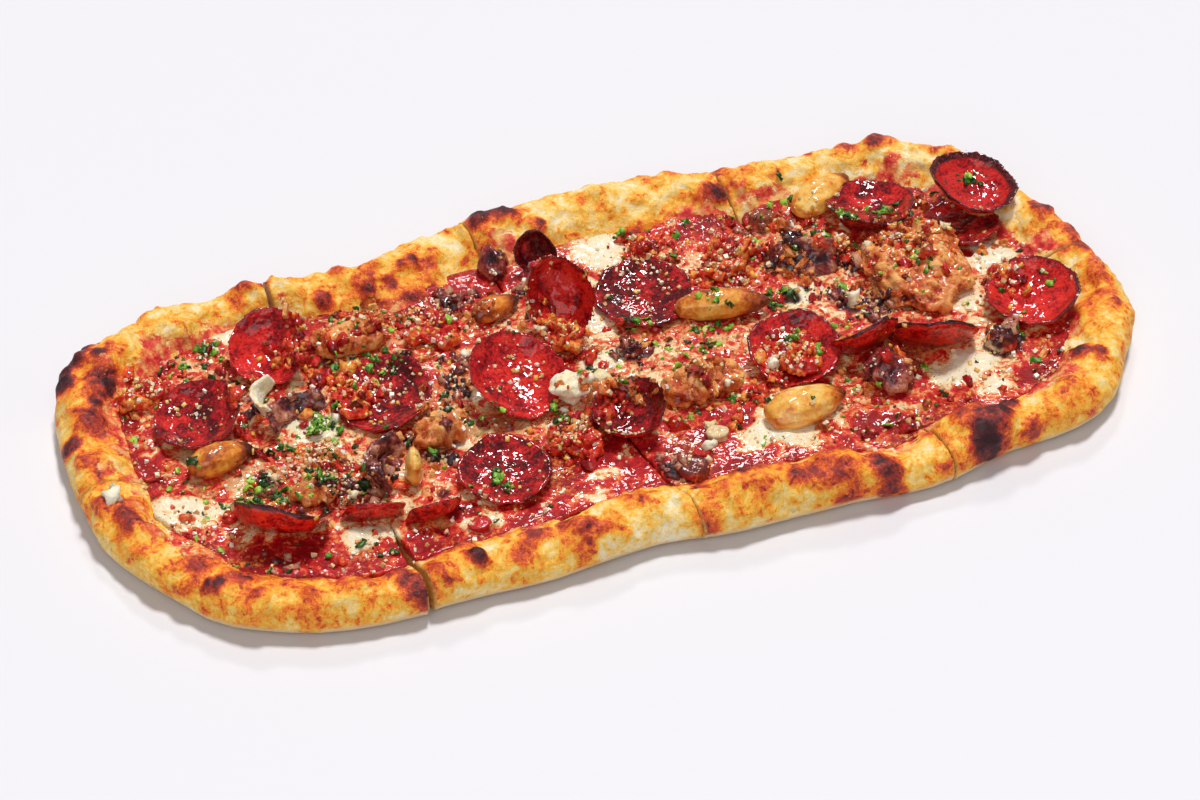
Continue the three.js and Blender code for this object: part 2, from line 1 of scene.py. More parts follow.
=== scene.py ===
# Bee sting pizza: an oblong flatbread in eight slices, with a blistered golden rim, melted cheese and
# sauce, glossy cupped pepperoni, roasted garlic, sausage, bacon, onion and chili paste, and with chopped
# parsley, grated cheese and crumbs strewn over it. Lengths in this file are in millimetres.
import math

import bpy
import numpy as np
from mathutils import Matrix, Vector


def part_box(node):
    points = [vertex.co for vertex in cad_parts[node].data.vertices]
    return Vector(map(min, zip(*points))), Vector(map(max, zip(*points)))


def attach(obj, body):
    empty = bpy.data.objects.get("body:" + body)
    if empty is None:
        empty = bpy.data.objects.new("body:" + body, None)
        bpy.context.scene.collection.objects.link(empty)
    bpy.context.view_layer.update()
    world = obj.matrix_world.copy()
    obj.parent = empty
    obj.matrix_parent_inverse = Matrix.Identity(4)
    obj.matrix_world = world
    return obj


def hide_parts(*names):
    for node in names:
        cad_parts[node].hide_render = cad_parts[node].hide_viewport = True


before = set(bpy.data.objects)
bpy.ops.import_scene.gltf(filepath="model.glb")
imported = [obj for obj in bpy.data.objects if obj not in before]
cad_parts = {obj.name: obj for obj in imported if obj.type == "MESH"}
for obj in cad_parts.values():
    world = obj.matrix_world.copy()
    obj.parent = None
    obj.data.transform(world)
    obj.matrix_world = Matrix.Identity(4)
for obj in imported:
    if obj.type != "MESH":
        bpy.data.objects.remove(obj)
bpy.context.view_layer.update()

bl_info = {
    "name": "Bee sting pizza",
    "version": (1, 0, 0),
    "blender": (4, 5, 0),
    "location": "3D Viewport > Sidebar > Pizza",
    "description": "Bakes, melts, glazes and strews the pieces of an oblong pizza",
    "category": "Add Mesh",
}

BODY = "root"
MM = 0.001

# The rim, in millimetres in from the outer edge
RIM_END = 24
RIM_TOP_END = 16
# How far the melted cheese has run back over the cuts, away from the rim
MELTED_LIP = 1.1
# How far the crust has swollen back over the cuts, and the sauce under the foot of the rim
CRUST_LIP = 0.36
SAUCE_FOOT = 1.8
# How far the solids were moved to stand over their own middle
SOLIDS_SHIFT = np.array([-0.58, -1.1])
# A wall of a slice that is at least this large, in square millimetres, was left by a cut
CUT_WALL_AREA = 40
# The outer edge is found every few degrees, and then given as this many points
EDGE_DEGREES = 3
EDGE_POINTS = 720
# A round slice's outline is found in this many directions
DISC_SECTORS = 24

# The small crumbs that the solids strew over the sauce: how many there are, the length and width of
# their field, the step from each to the next as shares of it, and how their width and tone run
CRUMB_COUNT = 12
CRUMB_FIELD = (354, 171)
CRUMB_STEPS = np.array([0.7548776662, 0.569840291])
CRUMB_WIDTH = 3
CRUMB_WIDENING = 1.6
CRUMB_WIDTH_STEP = 0.618
CRUMB_TONE_STEP = 0.382

# Burnt places of the rim: x, y, length, width, heading in degrees, and how burnt
BURNS = [
    (-160, 59, 26, 8, 35, 0.9), (-156, 44, 16, 12, 10, 0.55), (-163, 31, 11, 12, 0, 0.45),
    (-171, 10, 10, 14, 0, 0.5), (-170, 3, 9, 8, 0, 0.42), (-168, -20, 9, 10, 0, 0.3),
    (-169, -34, 8, 8, 0, 0.3), (-155, -48, 14, 10, -30, 0.4), (-144, -59, 16, 8, -20, 0.35),
    (-126, -66, 18, 8, -6, 0.4), (-113, -75, 17, 9, 0, 0.5), (-128, -80, 12, 8, 20, 0.4),
    (-96, -74, 9, 12, 0, 0.45), (-72, -78, 8, 9, 0, 0.5), (-60, -80, 7, 8, 0, 0.42),
    (-53, -74, 11, 14, -30, 0.55), (-36, -83, 8, 6, 0, 0.4), (-30, -78, 18, 7, 8, 0.5),
    (9, -64, 17, 10, 12, 0.66), (26, -70, 8, 14, 0, 0.5), (45, -80, 16, 12, 0, 0.66),
    (52, -90, 18, 10, 0, 0.7), (66, -84, 13, 16, 10, 0.78), (55, -70, 10, 8, 0, 0.6),
    (104, -75, 16, 19, 20, 0.82), (118, -82, 13, 7, 35, 0.8), (148, -54, 10, 9, 30, 0.5),
    (153, -60, 8, 7, 40, 0.5), (166, -40, 7, 8, 0, 0.35), (172, 0, 8, 18, 0, 0.5),
    (168, 18, 12, 14, 15, 0.74), (176, 8, 8, 12, 0, 0.5), (130, 69, 13, 8, 10, 0.82),
    (158, 42, 10, 10, 30, 0.42), (-9, 77, 20, 8, 0, 1.0), (2, 71, 10, 7, 0, 0.5),
    (66, 68, 14, 9, -10, 0.5), (-59, 65, 13, 11, 0, 0.55), (-46, 54, 16, 8, 20, 0.55),
    (-44, 67, 9, 7, 0, 0.5), (-103, 68, 10, 6, 0, 0.4),
    (92, 78, 16, 6, 0, 0.3), (-130, 72, 12, 5, 20, 0.4),
]
# Wide places where the rim is baked to orange: x, y, length, width, heading, strength
TOASTED = [
    (-160, 34, 40, 60, 0, 0.9), (-166, -16, 24, 40, 0, 0.5), (-140, -64, 60, 30, -25, 0.9),
    (-98, -78, 40, 24, 0, 0.35), (-58, -78, 50, 30, 0, 0.5), (20, -74, 40, 26, 8, 0.3),
    (55, -82, 46, 34, 8, 0.45), (112, -78, 40, 26, 25, 0.5), (150, -50, 26, 30, 30, 0.35),
    (170, 8, 26, 50, 0, 0.75), (150, 58, 40, 24, -30, 0.5), (62, 66, 34, 22, 0, 0.3),
    (-52, 60, 46, 26, 10, 0.7), (-9, 76, 30, 14, 0, 0.6), (-105, 64, 40, 20, 12, 0.3),
    (-140, 60, 40, 20, 30, 0.5),
]
# Stretches of the rim that stayed pale: x, y, length, width, heading, strength
PALE = [
    (28, 77, 60, 26, 0, 1.2), (-22, -76, 44, 24, 8, 0.9), (-128, 68, 40, 20, 20, 0.6),
    (100, 76, 44, 20, -10, 0.3), (-30, 74, 20, 16, 0, 0.5),
]
# Red sauce on the rim: x, y, length, width, heading, strength
SMEARS = [
    (148, 62, 22, 9, -20, 0.9), (162, 50, 16, 12, -50, 0.9), (110, 66, 20, 8, 5, 0.6),
    (60, 62, 22, 8, -5, 0.5), (-118, 58, 24, 8, 12, 0.45), (-154, 20, 10, 26, 0, 0.55),
    (-152, -42, 18, 14, 20, 0.8), (33, -66, 26, 9, 10, 0.8), (66, -66, 26, 10, 10, 0.7),
    (-30, -60, 24, 10, 4, 0.5), (140, -58, 20, 10, 20, 0.5), (-60, -64, 14, 9, 0, 0.6),
]
# Patches of melted cheese: x, y, length, width, heading, strength
CHEESE_PATCHES = [
    (42, -52, 36, 22, 8, 1.1), (48, -40, 18, 12, 0, 0.8), (112, -43, 26, 15, 10, 1.1),
    (144, 8, 20, 19, 0, 1.1), (22, 56, 25, 18, 0, 1.1), (-106, 60, 26, 13, 8, 1.1),
    (-98, 4, 19, 15, 0, 1.0), (-152, -20, 28, 20, 10, 1.0), (-20, -50, 14, 9, 0, 0.7),
    (8, 22, 14, 12, 0, 0.8), (128, -10, 10, 14, 0, 0.5),
    (-63, -57, 18, 10, 0, 0.7), (73, 11, 14, 10, 0, 0.8), (-100, -51, 22, 9, 0, 0.8),
    (-27, -60, 18, 7, 0, 0.5), (117, -57, 14, 10, 0, 0.8), (2, 4, 18, 12, 0, 1.0),
    (10, 44, 14, 9, 0, 0.6), (84, -55, 12, 8, 0, 0.3),
]
# Places where plain red sauce shows: x, y, length, width, heading, strength
SAUCE_PATCHES = [
    (-149, -42, 20, 14, 0, 1.0), (-126, -50, 42, 14, 0, 1.0), (-66, -50, 14, 8, 0, 0.9),
    (-32, -47, 10, 12, 0, 0.9), (14, -46, 18, 13, 10, 1.0), (28, -60, 30, 8, 8, 0.9),
    (72, -57, 18, 12, 10, 0.9), (133, -54, 18, 10, 20, 0.9), (-140, 52, 18, 12, 10, 0.7),
    (-90, -62, 26, 6, 4, 0.6), (-60, 52, 26, 12, 0, 0.5), (60, 58, 26, 10, 0, 0.6), (158, -4, 10, 18, 0, 0.5),
    (128, 58, 20, 9, 0, 0.7), (-155, 30, 9, 20, 0, 0.6), (-112, 44, 12, 10, 0, 0.5),
]
# Bits the size of a pea that are baked into the sauce: x, y, width, and a tone of dark, brown,
# cream, orange or red from 0 to 1
BAKED_BITS = [
    (128, -36, 12, 0.1), (79, 52, 9, 0.3), (90, 2, 9, 0.05), (-50, -12, 8, 0.5), (12, 5, 8, 0.05),
    (9, -59, 8, 0.2), (15, -52, 5, 0.95), (23, -45, 6, 0.6), (-99, -8, 6, 0.5), (-58, 30, 6, 0.1),
    (-64, -59, 6, 0.95), (35, 54, 6, 0.95), (137, 13, 6, 0.95), (72, 12, 7, 0.1), (-149, -22, 5, 0.8),
]

# How charred each pepperoni's rim is, from the first to the last
PEPPERONI_CHAR = [
    0.3, 0.4, 0.35, 0.15, 0.3, 0.5, 0.15, 0.4, 0.5, 0.9,
    0.5, 0.6, 0.65, 0.25, 0.5, 0.8, 0.4, 0.3, 0.76,
]
# How bright each pepperoni's flesh is
PEPPERONI_TONE = [
    0.5, 0.48, 0.62, 0.44, 0.58, 0.64, 0.4, 0.54, 0.5, 0.62,
    0.62, 0.56, 0.64, 0.46, 0.44, 0.54, 0.52, 0.5, 0.36,
]
# How brown each clove is
GARLIC_BROWNING = [0.27, 0.46, 0.28, 0.48, 0.62, 0.2]

# Lumps whose surface is pushed out and in by noise: the word for how each is made, its slot, how often
# it is softened, and the width and height of each layer of the noise
CRAGGY = {
    "sausage": ("crumbled", "sausage", 3, [(6, 1.2), (2.8, 1.3), (1.4, 0.6)]),
    "bacon": ("crisped", "bacon", 4, [(6, 1.2), (2.6, 0.8), (1.2, 0.25)]),
    "chili_paste": ("heaped", "chili_paste", 3, [(4, 0.9), (2.1, 0.7), (1.1, 0.3)]),
    "onion": ("roasted", "onion", 4, [(4, 0.8), (1.8, 0.45)]),
    "cheese_shaving": ("curled", "cheese", 4, [(5, 0.5), (1.8, 0.25)]),
    "cheese_crumble": ("crumbled", "cheese", 3, [(5, 1.0), (2.4, 0.7), (1.2, 0.3)]),
}

# How far the corners of each small shape are moved at random, in millimetres
SHAPE_ROUGHNESS = {"leaf": 0.3, "chunk": 0.3, "speck": 0.22, "seed": 0.1}
# How much of what is strewn evenly stays on each kind of piece, and of light things in clumps
STAYING = {"glazed": 0.08, "roasted": 0.08, "baked": 0.2, "crumbled": 0.5, "curled": 0}
CLUMPS_STAYING = {"curled": 0}
# What is heaped stays off the cheese shaving, and the dark bits off these too
HEAPED_OFF = ("curled",)
DARK_OFF = ("glazed", "roasted_garlic", "curled", "crumbled_cheese")
# How far in from the outer edge each kind is strewn evenly; the dark bits lie in their clumps alone
MARGINS = {
    "chili_crumbs": 22, "sausage_crumbs": 24, "dark_crumbs": 20, "chili_seeds": 26, "parsley": 20,
    "grated_cheese": 16,
}
# Half the length and width of the field that things are strewn over, and how many places are tried
# for each one that is wanted
FIELD_REACH = (176, 86)
TRIES = 3
# How tightly a clump is packed, as a share of its radius
CLUMP_SPREAD = 0.42
# Radius and count of the seeds on each heap of chili paste, and how many more seeds and how many dark
# crumbs are strewn evenly
SEEDS_ON_HEAP = (13, 20)
LOOSE_SEEDS = 90
DARK_CRUMBS = 200
# Things fall through a point this high over their place, and are lost on anything lower than this
AIM_HEIGHT = 14
LOWEST_LANDING = 2
# How far they have fallen by then, in metres, and how far from upright in degrees, for heavy and for
# light things
FALL = 0.1
HEAVY_LEAN = 25
LIGHT_LEAN = 40
# How far strewn things are tilted out of the surface, for round and for flat things
ROUND_TILT = 0.5
FLAT_TILT = 0.175

# Clumps of chopped parsley: x, y, radius, count
PARSLEY_CLUMPS = [
    (-116, 52, 6, 16), (-126, -20, 7, 34), (-134, -22, 6, 16), (-95, 3, 7, 34), (-45, -15, 6, 12),
    (-52, -44, 5, 14), (-22, -19, 6, 12), (44, 8, 6, 20), (101, 33, 7, 34), (94, 38, 6, 12),
    (117, 37, 6, 12), (148, 38, 5, 12), (37, -33, 5, 9), (63, -18, 6, 12), (155, -15, 4, 4),
    (-70, 19, 8, 22), (-110, -2, 7, 14), (19, 15, 6, 12), (117, 3, 9, 12), (69, 10, 7, 26),
    (-146, -5, 5, 6), (34, -1, 6, 18), (-116, -26, 7, 26), (-104, -28, 5, 12), (-76, 30, 8, 16),
    (-62, 52, 8, 14), (36, 62, 9, 12), (-30, 16, 8, 12), (-130, 50, 6, 8), (86, 60, 8, 8),
]
# Heaps of chopped chili paste: x, y, radius, count
CHILI_CLUMPS = [
    (-143, 40, 8, 60), (-93, 34, 9, 70), (-86, 24, 9, 60), (-45, 40, 9, 60), (-80, 12, 9, 44),
    (-8, 12, 8, 50), (-10, 22, 7, 30), (-17, -26, 9, 50), (-22, -38, 8, 44), (62, 34, 12, 110),
    (50, 28, 8, 34), (36, 52, 9, 60), (96, 28, 8, 40), (57, -23, 11, 100), (44, -33, 7, 24),
    (-6, -22, 8, 34), (141, -10, 9, 46), (-117, 10, 6, 16), (-98, -20, 9, 30), (-122, -30, 7, 20),
    (-152, 36, 5, 12), (124, 26, 6, 16), (112, 16, 12, 20), (120, 4, 8, 12), (-64, 46, 12, 22),
]
# Dark bits of roasted onion and bacon: x, y, radius, count
DARK_CLUMPS = [
    (-112, 20, 7, 30), (-102, 16, 6, 20), (-90, -29, 9, 40), (-104, -31, 6, 16), (-126, -50, 9, 26),
    (-82, -24, 6, 18), (-121, -15, 7, 26), (-62, -24, 6, 16), (-48, 8, 7, 26), (-44, 20, 6, 16),
    (-34, 50, 8, 26), (-12, 34, 5, 14), (-11, 46, 4, 12), (12, 4, 7, 24), (20, 30, 7, 12),
    (52, 12, 6, 12), (78, 30, 8, 36), (98, 20, 6, 26), (86, 8, 7, 26), (96, -4, 9, 40),
    (78, -18, 6, 14), (104, 40, 6, 16), (84, 42, 7, 20), (128, -33, 7, 26), (-104, 48, 6, 8),
    (4, -56, 7, 20), (-122, -34, 8, 30), (-94, -34, 6, 20), (-2, -38, 5, 14), (72, 46, 8, 16),
    (58, 12, 9, 16), (-70, -8, 7, 14),
]
# Heaps of crumbled sausage: x, y, radius, count
SAUSAGE_CLUMPS = [
    (-62, 50, 12, 70), (-57, -6, 10, 50), (-101, -12, 10, 50), (26, -20, 10, 40), (-127, -36, 7, 16),
    (4, -23, 8, 20), (117, 18, 14, 60), (-99, -34, 7, 20), (-30, 38, 8, 16), (80, 22, 9, 20),
    (-112, 30, 7, 16), (98, 4, 8, 16),
]
# Clumps of grated cheese: x, y, radius, count
GRATED_CLUMPS = [
    (-144, 37, 8, 60), (-100, -8, 10, 120), (-59, -6, 9, 70), (-17, 18, 8, 50), (57, 28, 12, 130),
    (55, -21, 11, 110), (97, 27, 9, 70), (-5, 39, 8, 30), (-99, -26, 11, 90), (-26, 28, 9, 50),
    (-109, -14, 8, 50), (-6, -41, 8, 40), (8, -55, 8, 30), (-72, 12, 13, 90), (-47, 44, 12, 90),
    (-20, -30, 11, 90), (141, -8, 9, 50), (30, 46, 12, 60), (28, 30, 14, 50), (-131, 18, 11, 30),
    (-150, -30, 14, 50), (96, 44, 12, 40), (-62, -52, 12, 40), (117, 10, 14, 40), (-31, 2, 14, 60),
]
# Crumbles of soft cheese: x, y, width
CHEESE_CRUMBLES = [
    (-171, -10, 6), (-3, -6, 5.5), (17, -52, 4.5), (91, 1, 5.5), (-18, 44, 4.5), (-90, 6, 3.5),
    (12, -18, 4.5), (22, -41, 4), (-109, 17, 4), (-19, 43, 4), (0, -8, 4), (51, -24, 3.5),
    (-10, -14, 3.5), (-20, -17, 3), (62, 12, 3), (-97, -33, 3.2), (-60, -6, 3), (40, 46, 3),
    (104, 20, 3), (-118, -14, 3), (15, -56, 2.6), (33, -28, 2.6), (130, 16, 3), (-40, 22, 3),
]

# The lights: name, strength, how many degrees wide, and where the light comes from
LIGHTS = [
    ("key", 2.35, 11, (0.25, 0.3, 1.0)),
    ("fill", 0.85, 50, (-0.5, -0.9, 0.9)),
    ("glint", 0.5, 7, (0.27, 0.71, 0.65)),
]
SKY_COLOUR = (0.93, 0.94, 1.0, 1)
SKY_STRENGTH = 0.2
# The floor's width in metres, how far it lies under the pizza, and the width of its faint clouds
FLOOR_WIDTH = 6
FLOOR_GAP = 0.2
FLOOR_CLOUDS = 900
# The point that the camera looks at
CAMERA_TARGET = (-2.6, -5.4, 0)


# Settings that a user would change

def linear(code):
    """A colour of the usual six-digit code, as the shader's own linear numbers."""
    parts = [int(code[i:i + 2], 16) / 255 for i in (0, 2, 4)]
    return tuple(c / 12.92 if c <= 0.04045 else ((c + 0.055) / 1.055) ** 2.4 for c in parts)


def opaque(colour):
    """The four numbers of a colour that is given as a six-digit code or as linear numbers."""
    return (*(linear(colour) if isinstance(colour, str) else colour[:3]), 1)


def colour_setting(name, description, code):
    return bpy.props.FloatVectorProperty(
        name=name, description=description, subtype="COLOR", size=3, min=0, max=1, default=linear(code),
    )


def length_setting(name, description, value, low, high):
    return bpy.props.FloatProperty(
        name=name, description=description, unit="LENGTH", default=value * MM, min=low * MM, max=high * MM,
    )


def angle_setting(name, description, degrees):
    return bpy.props.FloatProperty(
        name=name, description=description, subtype="ANGLE", default=math.radians(degrees),
    )


def count_setting(name, description, value):
    return bpy.props.IntProperty(name=name, description=description, default=value, min=0)


class CrustSettings(bpy.types.PropertyGroup):
    grain: length_setting("Mesh grain", "Width of a face of the crust", 0.8, 0.5, 4)
    crags: length_setting("Crags", "Height of the rim's crags", 1.4, 0, 5)
    blisters: count_setting("Blisters", "How many small blisters the rim has", 190)
    golden: colour_setting("Golden", "Colour of the well-baked crust", "FFC446")
    burnt: colour_setting("Burnt", "Colour of the burnt spots", "5E2426")


class SauceSettings(bpy.types.PropertyGroup):
    grain: length_setting("Mesh grain", "Width of a face of the sauce", 0.75, 0.5, 4)
    red: colour_setting("Sauce", "Colour of the plain sauce", "BE121A")
    cream: colour_setting("Cheese", "Colour of the melted cheese", "FBEDCC")


class ToppingSettings(bpy.types.PropertyGroup):
    grain: length_setting("Mesh grain", "Width of a face of a topping", 0.5, 0.3, 3)
    pepperoni: colour_setting("Pepperoni", "Colour of the pepperoni's flesh", "B80E16")
    garlic: colour_setting("Garlic", "Colour of the roasted garlic", "F0A63E")
    chili: colour_setting("Chili paste", "Colour of the chili paste", "E02A14")


class StrewnSettings(bpy.types.PropertyGroup):
    seed: count_setting("Seed", "Which scatter is drawn", 7)
    parsley: count_setting("Parsley", "Flakes strewn evenly, on top of the clumps", 420)
    grated: count_setting("Grated cheese", "Grains strewn evenly, on top of the clumps", 3400)
    crumbs: count_setting("Crumbs", "Crumbs of meat and chili strewn evenly", 300)


class StudioSettings(bpy.types.PropertyGroup):
    azimuth: angle_setting("Azimuth", "Where the camera stands round the pizza", -21.1)
    elevation: angle_setting("Elevation", "How high the camera stands", 40.3)
    distance: length_setting("Distance", "From the camera to its target", 1645, 100, 9000)
    lens: bpy.props.FloatProperty(
        name="Lens", description="Focal length of the camera", subtype="DISTANCE_CAMERA", default=150,
    )
    floor: colour_setting("Floor", "Colour of the floor", "E6E4E7")


# Numbers that vary from place to place. Points are rows of x, y and z in millimetres.

def step(value, low, high):
    """0 at low, 1 at high and smooth between, whichever of them is larger."""
    share = np.clip((value - low) / (high - low), 0, 1)
    return share * share * (3 - 2 * share)


def noise(points, lump, seed=0):
    """Smooth noise from -1 to 1, with lumps of the given width."""
    scaled = points / lump + 17.31 * (seed + 1)
    cell = np.floor(scaled).astype(np.int64)
    part = scaled - cell
    part = part * part * (3 - 2 * part)
    steps = np.array([73856093, 19349663, 83492791])
    total = np.zeros(len(points))
    for corner in np.ndindex(2, 2, 2):
        near = np.where(corner, part, 1 - part).prod(axis=1)
        key = (cell + corner) @ steps
        key = (key ^ (key >> 13)) * 1274126177
        total += near * (((key ^ (key >> 16)) & 0xFFFF) / 32767.5 - 1)
    return total


def crags(points, lump, seed=0, octaves=3):
    """Noise at several widths at once, each half as wide and half as high as the one before."""
    layers = [noise(points, lump / 2 ** i, seed + i) / 2 ** i for i in range(octaves)]
    return sum(layers)


def spots(points, rows, ragged=1.5):
    """The strongest of some oval spots at each point, with ragged edges."""
    x = points[:, 0] + ragged * crags(points, 7, 40)
    y = points[:, 1] + ragged * crags(points, 7, 44)
    strongest = np.zeros(len(points))
    for spot_x, spot_y, length, width, heading, strength in rows:
        turn = math.radians(heading)
        along = (x - spot_x) * math.cos(turn) + (y - spot_y) * math.sin(turn)
        across = (y - spot_y) * math.cos(turn) - (x - spot_x) * math.sin(turn)
        out = np.hypot(2 * along / length, 2 * across / width)
        strongest = np.maximum(strongest, strength * step(out, 1.25, 0.35))
    return strongest


# Meshes as arrays

def points_of(piece):
    flat = np.empty(3 * len(piece.data.vertices))
    piece.data.vertices.foreach_get("co", flat)
    return flat.reshape(-1, 3) / MM


def set_points(piece, points):
    piece.data.vertices.foreach_set("co", (points * MM).ravel())
    piece.data.update()


def normals_of(piece):
    flat = np.empty(3 * len(piece.data.vertices))
    piece.data.vertex_normals.foreach_get("vector", flat)
    return flat.reshape(-1, 3)


def push(piece, amounts):
    """Move each point of a piece out along its normal."""
    set_points(piece, points_of(piece) + normals_of(piece) * amounts[:, None])


def paint(piece, name, values):
    """Keep a number for each point, for the material to read."""
    layer = piece.data.attributes.new(name, "FLOAT", "POINT")
    layer.data.foreach_set("value", np.asarray(values, dtype=np.float32))


# Modelling

def alone(piece):
    """Select one piece and nothing else, so that an operator acts on it alone."""
    bpy.ops.object.select_all(action="DESELECT")
    piece.select_set(True)
    bpy.context.view_layer.objects.active = piece


def modify(piece, kind, **settings):
    """Add a modifier and apply it."""
    alone(piece)
    modifier = piece.modifiers.new(kind.title(), kind)
    for name, value in settings.items():
        setattr(modifier, name, value)
    bpy.ops.object.modifier_apply(modifier=modifier.name)


def copy_of(node, name):
    """A piece of its own with a node's form, its loose triangles merged."""
    piece = bpy.data.objects.new(name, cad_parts[node].data.copy())
    bpy.context.scene.collection.objects.link(piece)
    alone(piece)
    bpy.ops.object.mode_set(mode="EDIT")
    bpy.ops.mesh.select_all(action="SELECT")
    bpy.ops.mesh.remove_doubles(threshold=0.001 * MM)
    bpy.ops.object.mode_set(mode="OBJECT")
    return piece


def skin_of(node, word, grain, softening):
    """A node's form with even small faces and softened edges."""
    piece = copy_of(node, f"{word}_{node}")
    coarser = 1
    modify(piece, "REMESH", mode="VOXEL", voxel_size=grain * coarser, use_smooth_shade=True)
    if softening:
        modify(piece, "SMOOTH", factor=0.5, iterations=softening)
    return piece


def present(piece, finish, slot, *nodes):
    """Give a finished piece its material and smooth shading, put it under its body, and hide the nodes that
    it stands for.
    """
    piece.data.materials.clear()
    piece.data.materials.append(finish)
    alone(piece)
    bpy.ops.object.shade_smooth()
    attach(piece, BODY)
    if nodes:
        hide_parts(*nodes)


def nodes_of(kind):
    """The nodes of one kind, in the order of their numbers."""
    names = [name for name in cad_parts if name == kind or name.startswith(kind + "_")]
    return sorted(names, key=lambda name: (len(name), name))


def outer_edge():
    """Points along the pizza's outer edge, seen from above."""
    corners = np.concatenate([
        [vertex.co[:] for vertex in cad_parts[name].data.vertices] for name in nodes_of("crust")
    ]) / MM
    angles = np.arctan2(corners[:, 1], corners[:, 0])
    radii = np.hypot(corners[:, 0], corners[:, 1])
    bins = np.round(angles / math.radians(EDGE_DEGREES)).astype(int)
    farthest = [np.flatnonzero(bins == b)[np.argmax(radii[bins == b])] for b in np.unique(bins)]
    farthest = sorted(farthest, key=lambda i: angles[i])
    turns = np.linspace(-math.pi, math.pi, EDGE_POINTS, endpoint=False)
    reach = np.interp(turns, angles[farthest], radii[farthest], period=2 * math.pi)
    return np.stack([reach * np.cos(turns), reach * np.sin(turns)], axis=1)


def inward_of(points, edge):
    """How far in from the outer edge each point lies."""
    nearest = np.full(len(points), 1e9)
    for x, y in edge:
        nearest = np.minimum(nearest, (points[:, 0] - x) ** 2 + (points[:, 1] - y) ** 2)
    return np.sqrt(nearest)


def cut_distance(points, node):
    """How far each point lies from the flat upright walls that the cuts left on a slice."""
    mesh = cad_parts[node].data
    nearest = np.full(len(points), 1e9)
    walls = {}
    for face in mesh.polygons:
        if abs(face.normal.z) < 1e-3:
            key = tuple(round(value, 2) for value in (*face.normal, face.normal @ face.center / MM / 3))
            walls.setdefault(key, [0, face.normal.copy(), face.center.copy()])[0] += face.area
    for area, normal, centre in walls.values():
        if area > CUT_WALL_AREA * MM * MM:
            away = np.abs((points - np.array(centre) / MM) @ np.array(normal))
            nearest = np.minimum(nearest, away)
    return nearest


# Materials

class Finish:
    """A material whose nodes are added one by one; each method gives back the new node's output."""

    def __init__(self, name):
        self.material = bpy.data.materials.new(name)
        self.material.use_nodes = True
        self.tree = self.material.node_tree
        self.shader = self.tree.nodes["Principled BSDF"]
        self.place = self.add("ShaderNodeTexCoord", {}).outputs["Object"]

    def add(self, kind, inputs, **settings):
        node = self.tree.nodes.new(kind)
        for name, value in settings.items():
            setattr(node, name, value)
        for name, value in inputs.items():
            self.feed(node.inputs[name], value)
        return node

    def feed(self, socket, value):
        if isinstance(value, bpy.types.NodeSocket):
            self.tree.links.new(value, socket)
        elif socket.type == "RGBA":
            socket.default_value = opaque(value)
        else:
            socket.default_value = value

    def painted(self, name, *changes):
        """A number that is painted on the mesh, varied by noises."""
        number = self.add("ShaderNodeAttribute", {}, attribute_name=name).outputs["Fac"]
        return self.varied(number, *changes)

    def noise(self, lump, detail=3, roughness=0.55, distortion=0):
        inputs = {
            "Vector": self.place, "Scale": 1 / (lump * MM), "Detail": detail,
            "Roughness": roughness, "Distortion": distortion,
        }
        return self.add("ShaderNodeTexNoise", inputs).outputs["Fac"]

    def cells(self, width, randomness=1):
        inputs = {"Vector": self.place, "Scale": 1 / (width * MM), "Randomness": randomness}
        return self.add("ShaderNodeTexVoronoi", inputs).outputs["Distance"]

    def sum(self, a, b):
        return self.add("ShaderNodeMath", {0: a, 1: b}, operation="ADD").outputs[0]

    def product(self, a, b):
        return self.add("ShaderNodeMath", {0: a, 1: b}, operation="MULTIPLY").outputs[0]

    def varied(self, value, *changes):
        """A value with some noises of mean 0.5 added, each times its own share."""
        for noise_value, share in changes:
            change = self.add(
                "ShaderNodeMath", {0: noise_value, 1: share, 2: -0.5 * share}, operation="MULTIPLY_ADD",
            ).outputs[0]
            value = self.sum(value, change)
        return value

    def between(self, value, low, high):
        inputs = {"Value": value, "From Min": low, "From Max": high}
        return self.add("ShaderNodeMapRange", inputs, interpolation_type="SMOOTHSTEP").outputs["Result"]

    def tones(self, value, stops):
        """Colours along a value: each stop is a position and a colour."""
        node = self.add("ShaderNodeValToRGB", {0: value})
        ramp = node.color_ramp
        while len(ramp.elements) < len(stops):
            ramp.elements.new(0.5)
        for element, (position, colour) in zip(ramp.elements, stops):
            element.position = position
            element.color = opaque(colour)
        return node.outputs["Color"]

    def mixed(self, amount, a, b):
        node = self.add("ShaderNodeMix", {}, data_type="RGBA")
        for socket, value in zip((node.inputs[0], node.inputs[6], node.inputs[7]), (amount, a, b)):
            self.feed(socket, value)
        return node.outputs[2]

    def bumped(self, *layers):
        """Bumps one over the other: each layer is a height from 0 to 1 and its rise in millimetres."""
        normal = None
        for height, rise in layers:
            inputs = {"Height": height, "Distance": rise * MM}
            if normal:
                inputs["Normal"] = normal
            normal = self.add("ShaderNodeBump", inputs).outputs["Normal"]
        return normal

    def glazed(self, weight, lump, rise, roughness=0.06):
        """A clear wet coat with smooth ripples of its own: the inputs for `done`."""
        ripples = self.bumped((self.noise(lump, detail=1, roughness=0.4), rise))
        return {"coat_weight": weight, "coat_roughness": roughness, "coat_normal": ripples}

    def soft(self, weight, depth):
        """Light that goes some way in, in millimetres: the inputs for `done`."""
        return {"subsurface_weight": weight, "subsurface_scale": depth * MM}

    def done(self, **inputs):
        for name, value in inputs.items():
            self.feed(self.shader.inputs[name.replace("_", " ").title().replace("Ior", "IOR")], value)
        return self.material


